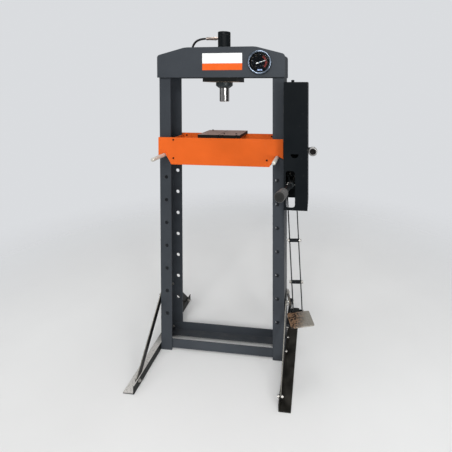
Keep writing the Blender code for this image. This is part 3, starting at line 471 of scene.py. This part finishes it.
def lathe(profile, start, direction, steps=64, bm=None):
    """A closed profile of (distance along, radius) points turned about a line."""
    bm = bm or bmesh.new()
    axis = Vector(direction).normalized()
    across = axis.orthogonal().normalized()
    rings = []
    for distance, radius in profile:
        centre = Vector(start) + axis * distance
        if radius == 0.0:
            rings.append([bm.verts.new(centre)])
            continue
        rings.append([
            bm.verts.new(centre + Matrix.Rotation(math.tau * i / steps, 3, axis) @ across * radius)
            for i in range(steps)])
    for ring, after in zip(rings, rings[1:] + rings[:1]):
        for i in range(steps):
            j = (i + 1) % steps
            corners = [ring[i % len(ring)], ring[j % len(ring)]]
            corners += [after[j % len(after)], after[i % len(after)]]
            face = list(dict.fromkeys(corners))
            if len(face) > 2:
                bm.faces.new(face)
    return bm


def drum(low, high, outer, inner=0.0):
    """The profile of a plain disc, rod or sleeve."""
    return [(low, inner), (low, outer), (high, outer), (high, inner)]


def extrude(outline, along, low, high, bm=None):
    """An outline of (x, z) points made solid along Y, or of (x, y) points along Z."""
    bm = bm or bmesh.new()
    ends = [[bm.verts.new((u, w, v) if along == "Y" else (u, v, w)) for u, v in outline]
            for w in (low, high)]
    bm.faces.new(ends[0])
    bm.faces.new(list(reversed(ends[1])))
    for i in range(len(outline)):
        j = (i + 1) % len(outline)
        bm.faces.new((ends[0][i], ends[0][j], ends[1][j], ends[1][i]))
    return bm


def arc(centre, radius, first, last, steps):
    """Points from the first to the last angle, in degrees."""
    return [(centre[0] + radius * math.cos(math.radians(first + (last - first) * i / steps)),
             centre[1] + radius * math.sin(math.radians(first + (last - first) * i / steps)))
            for i in range(steps + 1)]


def ring_sector(centre, outer, inner, first, last, steps):
    return arc(centre, outer, first, last, steps) + arc(centre, inner, last, first, steps)


def rounded(low, high, radius):
    """A rectangle with rounded corners."""
    corners = (((high[0] - radius, low[1] + radius), -90),
               ((high[0] - radius, high[1] - radius), 0),
               ((low[0] + radius, high[1] - radius), 90),
               ((low[0] + radius, low[1] + radius), 180))
    return [p for centre, first in corners
            for p in arc(centre, radius, first, first + 90, steps=5)]


def tube(path, radius, corners):
    """A round bar along a path, closed at both ends."""
    bm = bmesh.new()
    points = [Vector(p) for p in path]
    across = (points[1] - points[0]).orthogonal().normalized()
    rings = []
    for i, point in enumerate(points):
        heading = (points[min(i + 1, len(points) - 1)] - points[max(i - 1, 0)]).normalized()
        across = (across - heading * across.dot(heading)).normalized()
        side = heading.cross(across)
        rings.append([bm.verts.new(point + across * radius * math.cos(math.tau * k / corners)
                                   + side * radius * math.sin(math.tau * k / corners))
                      for k in range(corners)])
    for ring, after in zip(rings, rings[1:]):
        for i in range(corners):
            j = (i + 1) % corners
            bm.faces.new((ring[i], ring[j], after[j], after[i]))
    bm.faces.new(rings[0])
    bm.faces.new(list(reversed(rings[-1])))
    return bm


HOOK = 0.06  # share of a spring's length that each of its ends takes up


def coil(start, end, radius, turns, steps):
    """A close helix between two points, drawn in to the axis at its ends like a hook."""
    axis = Vector(end) - Vector(start)
    across = axis.orthogonal().normalized()
    path = [Vector(start)]
    for i in range(turns * steps + 1):
        spoke = Matrix.Rotation(math.tau * i / steps, 3, axis) @ across
        path.append(Vector(start) + axis * (HOOK + (1 - 2 * HOOK) * i / (turns * steps))
                    + spoke * radius)
    return path + [Vector(end)]


def spring(name, ends, radius, turns, steps, wire, replaces):
    """A coil spring between a point on each of two bodies, attached to neither."""
    bm = tube(coil(*ends, radius, turns, steps), wire, 8)
    obj = piece(name, bm, SPRING, None, replaces=replaces)
    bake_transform(obj)


# A bolt's washer, head, and the nut's stub of thread, in multiples of its size
WASHER = (1.05, 0.20)
HEAD = ((0.0, 0.0), (0.0, 0.92), (0.62, 0.92), (0.74, 0.80), (0.74, 0.0))
STUB = ((0.74, 0.0), (0.74, 0.5), (1.05, 0.5), (1.13, 0.42), (1.13, 0.0))


def bolt(name, face, direction, size, body, material=ZINC, nut=False):
    """A hex head or a nut on a washer, standing on a face."""
    out = Vector(direction).normalized()
    radius, thick = WASHER
    bm = lathe(drum(0.0, size * thick, size * radius), face, out, steps=32)
    base = Vector(face) + out * (size * thick)
    for profile, steps in ((HEAD, 6), (STUB, 20)) if nut else ((HEAD, 6),):
        lathe([(size * along, size * r) for along, r in profile], base, out, steps, bm)
    return piece(name, bm, material, body)


# ---------------------------------------------------------------------------------------------
# Cylinder and ram
# ---------------------------------------------------------------------------------------------

ORIGIN = (0.0, 0.0, 0.0)
PORT = (0.0, 0.0, 1.811)
RAM_SPRING_ENDS = ((0.0, 0.0, 1.8245), (0.0, 0.0, 1.4722))

piece("ram_rod", lathe([
    (1.443, 0.0), (1.443, 0.0252), (1.4438, 0.0262), (1.4452, 0.0276), (1.447, 0.0280),
    (1.7747, 0.0280), (1.7747, 0.0185), (1.470, 0.0185), (1.470, 0.0),
], ORIGIN, UP, steps=96), CHROME, "ram", replaces="ram")
piece("cylinder_tube", lathe([
    (1.5455, 0.0315), (1.5455, 0.0365), (1.8295, 0.0365), (1.8300, 0.0360), (1.8300, 0.0315),
], ORIGIN, UP, steps=96), BLACK, "frame", replaces="cylinder_barrel")
piece("cylinder_end_cap", lathe([
    (1.8263, 0.0), (1.8263, 0.0312), (1.8303, 0.0312), (1.8303, 0.0360), (1.8308, 0.0365),
    (1.8450, 0.0365), (1.8472, 0.0355), (1.848, 0.0335), (1.848, 0.012), (1.8465, 0.0105),
    (1.8465, 0.0),
], ORIGIN, UP, steps=96), BLACK, "frame", replaces="cylinder_cap")
piece("cylinder_gland_nut", lathe([
    (1.5240, 0.0288), (1.5240, 0.0335), (1.5252, 0.0348), (1.5345, 0.0474), (1.5362, 0.0484),
    (1.5380, 0.0485), (1.5548, 0.0485), (1.5561, 0.0474), (1.5561, 0.0371), (1.5450, 0.0371),
    (1.5450, 0.0288),
], ORIGIN, UP, steps=96), GLAND, "frame", replaces="gland_nut")
piece("ram_wiper", lathe([
    (1.5222, 0.0284), (1.5222, 0.0310), (1.5236, 0.0325), (1.5239, 0.0325), (1.5239, 0.0284),
], ORIGIN, UP, steps=64), HOSE, "frame")

adapter = lathe([
    (0.0371, 0.0), (0.0371, 0.0080), (0.0470, 0.0080), (0.0470, 0.0104), (0.0590, 0.0104),
    (0.0590, 0.0)], PORT, (-1, 0, 0), steps=6)
lathe([
    (0.0590, 0.0), (0.0590, 0.0076), (0.0620, 0.0076), (0.0620, 0.0096), (0.0710, 0.0096),
    (0.0718, 0.0088), (0.1056, 0.0088), (0.1068, 0.0080), (0.1068, 0.0)],
    PORT, (-1, 0, 0), steps=32, bm=adapter)
piece("hose_adapter", adapter, FERRULE, "frame", replaces="cylinder_port_adapter")

spring("ram_spring", RAM_SPRING_ENDS, radius=0.0125, turns=12, steps=20, wire=0.0014,
       replaces="ram_return_spring")

# ---------------------------------------------------------------------------------------------
# Gauge and label
# ---------------------------------------------------------------------------------------------

DIAL_AT = (0.227, 1.662)  # x and z
DIAL_CENTRE = (DIAL_AT[0], 0.0, DIAL_AT[1])
FACE = -0.0986  # y of the case's flange
INK_DEPTHS = (FACE - 0.0019, FACE - 0.0014)
DIAL_ZERO = 225.0  # degrees from +X, as all angles on the dial
DIAL_SWEEP = 270.0
TICKS = 50
TICK_END = 0.0490
LONG_TICK = (0.0415, 0.00055)  # radius of its inner end, and half its width
SHORT_TICK = (0.0445, 0.00025)
NUMBER_RADII = (0.0340, 0.0235)  # of the numbers before the red band, and of those inside it
NUMBER_SIZE, NUMBER_HALF_DEPTH, NUMBER_Y = 0.0085, 0.0002, FACE - 0.0017
RED_FROM = 7  # higher numbers stand inside the red band
RED_RADII, RED_ANGLES = (0.0408, 0.0300), (62, -46)
UNIT_PATCH = ((-0.014, -0.046), (0.014, -0.046), (0.014, -0.037), (-0.014, -0.037))

piece("gauge_body", lathe([
    (FACE - 0.010, 0.052), (FACE - 0.010, 0.056), (FACE - 0.0023, 0.056), (FACE - 0.0023, 0.063),
    (FACE, 0.063), (FACE, 0.056), (-0.0615, 0.056), (-0.0595, 0.054), (-0.0595, 0.0),
    (-0.0625, 0.0), (-0.0625, 0.052),
], DIAL_CENTRE, BACK, steps=96), BLACK, "frame", replaces="gauge_case")
piece("gauge_ring", lathe([
    (FACE - 0.0026, 0.0585), (FACE - 0.0026, 0.0655), (FACE - 0.0110, 0.0655),
    (FACE - 0.0135, 0.0648), (FACE - 0.0150, 0.0632), (FACE - 0.0155, 0.0612),
    (FACE - 0.0155, 0.0585), (FACE - 0.0146, 0.0565), (FACE - 0.0130, 0.0555),
    (FACE - 0.0130, 0.0585),
], DIAL_CENTRE, BACK, steps=96), BEZEL, "frame", replaces="gauge_bezel")
piece("gauge_window", lathe(drum(FACE - 0.0127, FACE - 0.0105, 0.058), DIAL_CENTRE, BACK, steps=96),
      GLASS, "frame", replaces="gauge_glass")

marks = bmesh.new()
for i in range(TICKS + 1):
    angle = math.radians(DIAL_ZERO - DIAL_SWEEP / TICKS * i)
    inner, half = SHORT_TICK if i % 5 else LONG_TICK
    ray = Vector((math.cos(angle), math.sin(angle)))
    side = Vector((-ray.y, ray.x)) * half
    low, high = Vector(DIAL_AT) + ray * inner, Vector(DIAL_AT) + ray * TICK_END
    extrude([tuple(p) for p in (low - side, high - side, high + side, low + side)],
            "Y", *INK_DEPTHS, bm=marks)
piece("gauge_scale", marks, FADED, "frame")
band = ring_sector(DIAL_AT, *RED_RADII, *RED_ANGLES, steps=30)
piece("gauge_red_band", extrude(band, "Y", *INK_DEPTHS), RED, "frame")
patch = [(DIAL_AT[0] + u, DIAL_AT[1] + v) for u, v in UNIT_PATCH]
piece("gauge_unit_patch", extrude(patch, "Y", *INK_DEPTHS), PALE_BLUE, "frame", width=0.0002)

for i, number in enumerate(range(0, 11, 2)):
    text = bpy.data.curves.new(f"dial_number_{number}", "FONT")
    text.body = str(number)
    text.size = NUMBER_SIZE
    text.extrude = NUMBER_HALF_DEPTH
    text.align_x = text.align_y = "CENTER"
    text.materials.append(FADED)
    label = bpy.data.objects.new(text.name, text)
    bpy.context.scene.collection.objects.link(label)
    radius = NUMBER_RADII[number >= RED_FROM]
    angle = math.radians(DIAL_ZERO - DIAL_SWEEP / 5 * i)
    label.location = Vector((DIAL_AT[0] + radius * math.cos(angle), NUMBER_Y,
                             DIAL_AT[1] + radius * math.sin(angle))) + SHIFT
    label.rotation_euler = (math.radians(90), 0, 0)
    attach(label, "frame")
piece("pointer_boss", lathe([
    (FACE - 0.0082, 0.0), (FACE - 0.0082, 0.0038), (FACE - 0.0076, 0.0046),
    (FACE - 0.0067, 0.0046), (FACE - 0.0067, 0.0)], DIAL_CENTRE, BACK, steps=32), BEZEL, "pointer")

LABEL_X = (-0.098, 0.129)
LABEL_DEPTHS = (-0.0989, -0.0984)  # on the crown's front
for name, low, high, ink in (("crown_label_top", 1.6587, 1.7150, WHITE),
                             ("crown_label_base", 1.6212, 1.6583, LABEL_ORANGE)):
    outline = rounded((LABEL_X[0], low), (LABEL_X[1], high), 0.0012)
    piece(name, extrude(outline, "Y", *LABEL_DEPTHS), ink, "frame")

# ---------------------------------------------------------------------------------------------
# Bed
# ---------------------------------------------------------------------------------------------

PIN_X, PIN_Z, PIN_FRONT = 0.322, 1.143, -0.240
PIN_PROFILE = [
    (0.0, 0.0), (0.0, 0.0065), (0.0012, 0.0085), (0.0035, 0.010), (0.3545, 0.010),
    (0.3570, 0.0085), (0.358, 0.0070), (0.358, 0.0)]
SADDLE_RADII = (0.0205, 0.0128)
SADDLE_DEPTHS = (0.1052, 0.1085)  # on the outer face of a bed plate
SADDLE_ANGLES = {"left": (0, 123), "right": (57, 180)}
BED_BOLT_X, BED_BOLT_SIZE = 0.267, 0.0048
BED_BOLT_ROWS = (("lower", 1.1265), ("upper", 1.2295))
BED_OUTER, BED_INNER = 0.1051, 0.0896  # faces of a bed plate, from the middle
NO_BOLT = ("right", "front", "upper")  # the photo shows no head here

for word, side in SIDES:
    rod = lathe(PIN_PROFILE, (side * PIN_X, PIN_FRONT, PIN_Z), BACK, steps=48)
    piece(f"{word}_pin_rod", rod, PIN_STEEL, f"{word}_pin", replaces=f"bed_{word}_pin")
    for where, front in ENDS:
        for row, z in BED_BOLT_ROWS:
            if (word, where, row) != NO_BOLT:
                bolt(f"bed_bolt_{word}_{where}_{row}", (side * BED_BOLT_X, front * BED_OUTER, z),
                     (0, front, 0), BED_BOLT_SIZE, "bed", DARK_BOLT)
            bolt(f"bed_nut_{word}_{where}_{row}", (side * BED_BOLT_X, front * BED_INNER, z),
                 (0, -front, 0), BED_BOLT_SIZE, "bed", DARK_BOLT, nut=True)
        outline = ring_sector((side * PIN_X, PIN_Z), *SADDLE_RADII, *SADDLE_ANGLES[word], steps=20)
        low, high = sorted(front * depth for depth in SADDLE_DEPTHS)
        piece(f"bed_saddle_{word}_{where}", extrude(outline, "Y", low, high), ORANGE, "bed",
              width=0.0006)

ARBOR_TOP = 1.2616
ARBOR_SCREWS = (("left", -0.1005, 0.0940), ("right", 0.0160, -0.0600), ("right", 0.0860, -0.0600))
for number, (word, x, y) in enumerate(ARBOR_SCREWS, 1):
    head = lathe([(0.0, 0.0), (0.0, 0.0056), (0.0030, 0.0056), (0.0036, 0.0050), (0.0036, 0.0026),
                  (0.0020, 0.0026), (0.0020, 0.0)], (x, y, ARBOR_TOP), UP, steps=32)
    piece(f"arbor_screw_{number}", head, DARK_BOLT, f"{word}_arbor")

# ---------------------------------------------------------------------------------------------
# Hand lever and pump
# ---------------------------------------------------------------------------------------------

LEVER_PIVOT = Vector((0.4055, -0.020, 0.985))
LEVER_TILT = math.radians(12.0)
LEVER = Vector((0.0, -math.cos(LEVER_TILT), math.sin(LEVER_TILT)))
GRIP_RIBS, GRIP_RIB_START, GRIP_RIB_PITCH = 11, 0.572, 0.0105

piece("hand_lever_tube", lathe(drum(0.1253, 0.7010, 0.0115, 0.0095), LEVER_PIVOT, LEVER, steps=48),
      BLACK, "hand_lever", replaces="hand_lever")
grip = [(0.560, 0.0118), (0.560, 0.0170), (0.5615, 0.0188), (0.5640, 0.0195)]
for i in range(GRIP_RIBS):
    at = GRIP_RIB_START + GRIP_RIB_PITCH * i
    grip += [(at, 0.0195), (at + 0.0012, 0.0185), (at + 0.0030, 0.0185), (at + 0.0042, 0.0195)]
grip += [(0.6985, 0.0195), (0.7018, 0.0191), (0.7032, 0.0184), (0.7036, 0.0176),
         (0.7036, 0.0), (0.7013, 0.0), (0.7013, 0.0118)]
piece("hand_grip", lathe(grip, LEVER_PIVOT, LEVER, steps=64), GRIP, "hand_lever",
      replaces="hand_lever_grip")
# A thin dark disc on the grip's closed end, carrying painted shade
piece("hand_grip_end_shade", lathe([
    (0.7037, 0.0), (0.7037, 0.0180), (0.7041, 0.0178), (0.7047, 0.0166), (0.7050, 0.0150),
    (0.7050, 0.0140), (0.7047, 0.0136), (0.7047, 0.0)], LEVER_PIVOT, LEVER, steps=48),
    GRIP_END_SHADE, "hand_lever")

KNOB_AT = (0.5163, -0.045, 1.1825)
KNURLS, KNURL_DEPTH = 24, 0.0009
KNURL_FROM = 0.0235  # radius
BLEED_SCREW_AT = (0.3895, -0.0565, 1.0400)
knob = lathe([
    (-0.005, 0.0), (-0.005, 0.0045), (0.050, 0.0045), (0.050, 0.0130), (0.054, 0.0150),
    (0.0555, 0.0225), (0.0575, 0.0241), (0.0720, 0.0243), (0.0742, 0.0236), (0.0750, 0.0218),
    (0.0750, 0.0175), (0.0738, 0.0160), (0.0735, 0.0150), (0.0735, 0.0)],
    KNOB_AT, FORWARD, steps=96)
for v in knob.verts:
    away = Vector((v.co.x - KNOB_AT[0], 0.0, v.co.z - KNOB_AT[2]))
    if away.length > KNURL_FROM:
        wave = (1 - math.cos(math.atan2(away.z, away.x) * KNURLS)) / 2
        v.co -= away.normalized() * KNURL_DEPTH * wave
piece("release_knob_wheel", knob, KNOB_STEEL, "release_knob", replaces="release_knob")
piece("release_knob_insert", lathe([
    (0.0736, 0.0), (0.0736, 0.0158), (0.0745, 0.0158), (0.0748, 0.0150), (0.0740, 0.0100),
    (0.0738, 0.0)], KNOB_AT, FORWARD, steps=48), DARK_BOLT, "release_knob")
piece("pump_bleed_screw", lathe([
    (0.0, 0.0), (0.0, 0.0030), (0.004, 0.0042), (0.012, 0.0042), (0.015, 0.0030),
    (0.015, 0.0)], BLEED_SCREW_AT, UP, steps=24), PIN_STEEL, "frame")

# ---------------------------------------------------------------------------------------------
# Foot linkage
# ---------------------------------------------------------------------------------------------

LINK_Y = -0.130  # of the straps and of the pins at their two ends
LEVER_PIN_Z, PEDAL_PIN_Z = 1.0084, 0.325
STRAP_DRIFT = 0.0350  # how much further out the straps are at the lower pin
STRAP_X = 0.40285  # half way between the straps at the upper pin
STRAP_PITCH = 0.0477
STRAP_THICKNESS, STRAP_CLEARANCE = 0.0045, 0.0006
NUT_GAP = 0.00235  # from a strap's middle to the nut on its outer face
PEDAL_SPRING_ENDS = ((0.3838, -0.0800, 0.3737), (0.4000, -0.1180, 0.3400))

for word, low, high in (("left", 0.4000, 0.4105), ("right", 0.4168, 0.4585)):
    sleeve = lathe(drum(0.0, high - low, 0.0084, 0.0052), (low, LINK_Y, PEDAL_PIN_Z), (1, 0, 0),
                   steps=32)
    piece(f"pedal_pin_{word}_sleeve", sleeve, BLACK, "pedal", width=0.0006)
spring("pedal_spring", PEDAL_SPRING_ENDS, radius=0.0045, turns=10, steps=16, wire=0.0010,
       replaces="pedal_return_spring")

lean = math.atan2(STRAP_DRIFT, LEVER_PIN_Z - PEDAL_PIN_Z)
across_straps = Vector((math.cos(lean), 0.0, math.sin(lean)))
reach = STRAP_PITCH * math.cos(lean) - STRAP_THICKNESS - STRAP_CLEARANCE
to_nut = STRAP_PITCH / 2 * math.cos(lean) + NUT_GAP
for word, z in (("upper", 0.7075), ("lower", 0.4835)):
    drift = STRAP_DRIFT * (LEVER_PIN_Z - z) / (LEVER_PIN_Z - PEDAL_PIN_Z)
    middle = Vector((STRAP_X + drift, LINK_Y, z))
    piece(f"{word}_spacer_tube",
          lathe(drum(-reach / 2, reach / 2, 0.009, 0.0045), middle, across_straps, steps=40),
          BLACK, "link", replaces=f"{word}_link_spacer")
    for hand, side in SIDES:
        bolt(f"{word}_spacer_nut_{hand}", middle + across_straps * side * to_nut,
             across_straps * side, 0.0088, "link", nut=True)

TREAD_AT = Vector((0.4562, -0.2128))
TREAD_TOP = 0.3428
TREAD_TURN = Matrix.Rotation(math.radians(17.0), 2)
LOZENGE = ((-0.0052, 0), (-0.0028, -0.0011), (0.0028, -0.0011), (0.0052, 0), (0.0028, 0.0011),
           (-0.0028, 0.0011))
LOZENGE_PITCH, LOZENGE_HEIGHT, LOZENGE_ROWS = 0.0132, 0.0009, 8

lozenges = bmesh.new()
middle = (LOZENGE_ROWS - 1) / 2
for row in range(LOZENGE_ROWS):
    for column in range(LOZENGE_ROWS):
        spot = Vector(((column - middle) * LOZENGE_PITCH, (row - middle) * LOZENGE_PITCH))
        slant = Matrix.Rotation(math.radians(45.0 if (row + column) % 2 else -45.0), 2)
        outline = [tuple(TREAD_AT + TREAD_TURN @ (spot + slant @ Vector(p))) for p in LOZENGE]
        extrude(outline, "Z", TREAD_TOP, TREAD_TOP + LOZENGE_HEIGHT, bm=lozenges)
piece("tread_lozenges", lozenges, TREAD, "pedal")

# ---------------------------------------------------------------------------------------------
# Bolts of the feet, braces and bracket
# ---------------------------------------------------------------------------------------------

BRACE_OUTER, BRACE_INNER = 0.3708, 0.3602  # x of a brace's two faces at its foot
FOOT_OUTER = 0.3654  # x of a foot's outer face
WEB_INNER = 0.3523  # x of the inner face of an upright's web
BRACE_FOOT_Y, BRACE_FOOT_Z = 0.318, 0.029
BRACE_TOP_Y, BRACE_TOP_Z = 0.054, 0.306

for word, side in SIDES:
    for where, end in ENDS:
        foot_y = end * 0.0525 + 0.0145
        for what, x, facing, y, z, size in (
            ("brace_foot_bolt", BRACE_OUTER, 1, end * BRACE_FOOT_Y, BRACE_FOOT_Z, 0.0075),
            ("brace_foot_nut", BRACE_INNER, -1, end * BRACE_FOOT_Y, BRACE_FOOT_Z, 0.0075),
            ("brace_top_bolt", BRACE_OUTER, 1, end * BRACE_TOP_Y, BRACE_TOP_Z, 0.0080),
            ("brace_top_nut", WEB_INNER, -1, end * BRACE_TOP_Y, BRACE_TOP_Z, 0.0075),
            ("foot_bolt", FOOT_OUTER, 1, foot_y, 0.024, 0.0070),
            ("foot_nut", WEB_INNER, -1, foot_y, 0.030, 0.0070),
        ):
            dark = what == "brace_foot_bolt" and word == "left"
            bolt(f"{word}_{where}_{what}", (side * x, y, z), (side * facing, 0, 0), size, "frame",
                 DARK_BOLT if dark else ZINC, nut=True)
bolt("bracket_bolt_upper", (0.3644, 0.030, 0.318), (1, 0, 0), 0.0050, "frame")
bolt("bracket_bolt_lower", (0.3645, 0.020, 0.1210), (1, 0, 0), 0.0075, "frame", nut=True)

# ---------------------------------------------------------------------------------------------
# Floor, light and camera
# ---------------------------------------------------------------------------------------------

FLOOR_HALF = 12.0  # half the floor's width
FLOOR_FADE = (0.9, 3.2)  # distances between which the floor fades into the backdrop
BACKDROP = 0.74  # brightness of the pale studio behind the press
FLOOR_TONES = ((0.84, 0.84, 0.83, 1), (0.88, 0.88, 0.87, 1))
SKY_COLOUR = (0.95, 0.97, 1.0, 1.0)
SKY_STRENGTH = (0.24, 0.42)  # of the light from in front, and from the sides
SKY_SIDEWAYS = (0.25, 0.85)  # share of a direction along X between which the two blend

floor_mesh = bmesh.new()
bmesh.ops.create_grid(floor_mesh, x_segments=2, y_segments=2, size=FLOOR_HALF)
mesh = bpy.data.meshes.new("studio_floor")
floor_mesh.to_mesh(mesh)
floor_mesh.free()
floor = bpy.data.objects.new("studio_floor", mesh)
floor.location.z = FLOOR - 0.0002  # just below the feet, so that the two don't share a plane
bpy.context.scene.collection.objects.link(floor)
g = Graph("floor_paint")
tone = g.ramp(g.noise(1.2, 3.0, seed=3.0), 0.3, 0.7)
g.finish(g.mix(tone, *FLOOR_TONES), 0.8, Specular_IOR_Level=0.1)
away = g.add("ShaderNodeVectorMath", {0: g.coords}, operation="LENGTH")
fade = g.add("ShaderNodeMapRange", {
    "Value": away.outputs["Value"], "From Min": FLOOR_FADE[0], "From Max": FLOOR_FADE[1],
}, interpolation_type="SMOOTHSTEP")
clear = g.add("ShaderNodeBsdfTransparent")
faded = g.add("ShaderNodeMixShader", {
    0: fade.outputs[0], 1: g.shader.outputs[0], 2: clear.outputs[0]})
g.put(g.tree.nodes["Material Output"].inputs["Surface"], faded.outputs[0])
mesh.materials.append(g.material)

# The surroundings look pale, and light the press more from the sides than from the front
world = bpy.data.worlds.new("studio")
bpy.context.scene.world = world
world.use_nodes = True
tree = world.node_tree
around = tree.nodes["Background"]
around.inputs["Color"].default_value = SKY_COLOUR
direction = tree.nodes.new("ShaderNodeTexCoord")
split = tree.nodes.new("ShaderNodeSeparateXYZ")
sideways = tree.nodes.new("ShaderNodeMath")
sideways.operation = "ABSOLUTE"
strength = tree.nodes.new("ShaderNodeMapRange")
path = tree.nodes.new("ShaderNodeLightPath")
choose = tree.nodes.new("ShaderNodeMix")
for key, value in zip(("From Min", "From Max", "To Min", "To Max"), SKY_SIDEWAYS + SKY_STRENGTH):
    strength.inputs[key].default_value = value
choose.inputs[3].default_value = BACKDROP
for source, target in (
    (direction.outputs["Generated"], split.inputs[0]), (split.outputs[0], sideways.inputs[0]),
    (sideways.outputs[0], strength.inputs["Value"]),
    (path.outputs["Is Camera Ray"], choose.inputs[0]), (strength.outputs[0], choose.inputs[2]),
    (choose.outputs[0], around.inputs["Strength"]),
):
    tree.links.new(source, target)


def lamp(name, place, target, size, power):
    """A rectangular softbox that the camera doesn't see."""
    data = bpy.data.lights.new(name, "AREA")
    data.shape = "RECTANGLE"
    data.size, data.size_y = size
    data.energy = power
    obj = bpy.data.objects.new(name, data)
    obj.location = place
    obj.rotation_euler = (Vector(target) - Vector(place)).to_track_quat("-Z", "Y").to_euler()
    obj.visible_camera = False
    bpy.context.scene.collection.objects.link(obj)


lamp("front_light", place=(0.5, -8.5, 3.9), target=(0.0, 0.0, -0.8), size=(4.4, 2.0), power=500.0)
lamp("fill_light", place=(2.9, -4.2, -0.2), target=(-0.3, 0.0, -0.7), size=(1.2, 2.0), power=95.0)
lamp("left_light", place=(-3.0, -2.0, 1.0), target=(0.0, 0.0, -0.7), size=(0.7, 2.4), power=12.0)
lamp("top_light", place=(0.2, -0.2, 2.6), target=(0.1, -0.1, -1.0), size=(2.4, 2.4), power=50.0)

# The camera's place, direction and shift were fitted to the photograph
YAW, PITCH = 0.12023, 0.01999  # radians to the left, and down
EYE = Vector((0.53704, -1.85644, 1.51866)) + SHIFT
SENSOR_WIDTH, FOCAL_LENGTH = 36.0, 25.969  # millimetres
LENS_SHIFT = {"shift_x": -0.11394, "shift_y": -0.28958}

camera_data = bpy.data.cameras.new("camera")
camera_data.sensor_width = SENSOR_WIDTH
camera_data.lens = FOCAL_LENGTH
camera = bpy.data.objects.new("camera", camera_data)
bpy.context.scene.collection.objects.link(camera)
camera.location = EYE
ahead = Vector((-math.sin(YAW) * math.cos(PITCH), math.cos(YAW) * math.cos(PITCH),
                -math.sin(PITCH)))
camera.rotation_mode = "QUATERNION"
camera.rotation_quaternion = ahead.to_track_quat("-Z", "Y")
bpy.context.scene.camera = camera
for key, value in LENS_SHIFT.items():  # the shift belongs to this viewpoint only
    rule = camera_data.driver_add(key).driver
    rule.type = "SCRIPTED"
    for letter in "xy":
        variable = rule.variables.new()
        variable.name = "e" + letter
        variable.type = "TRANSFORMS"
        variable.targets[0].id = camera
        variable.targets[0].transform_type = "LOC_" + letter.upper()
        variable.targets[0].transform_space = "WORLD_SPACE"
    rule.expression = f"{value} if abs(ex - {EYE.x:.5f}) + abs(ey - ({EYE.y:.5f})) < 0.01 else 0"
bpy.context.scene.view_settings.view_transform = "Standard"
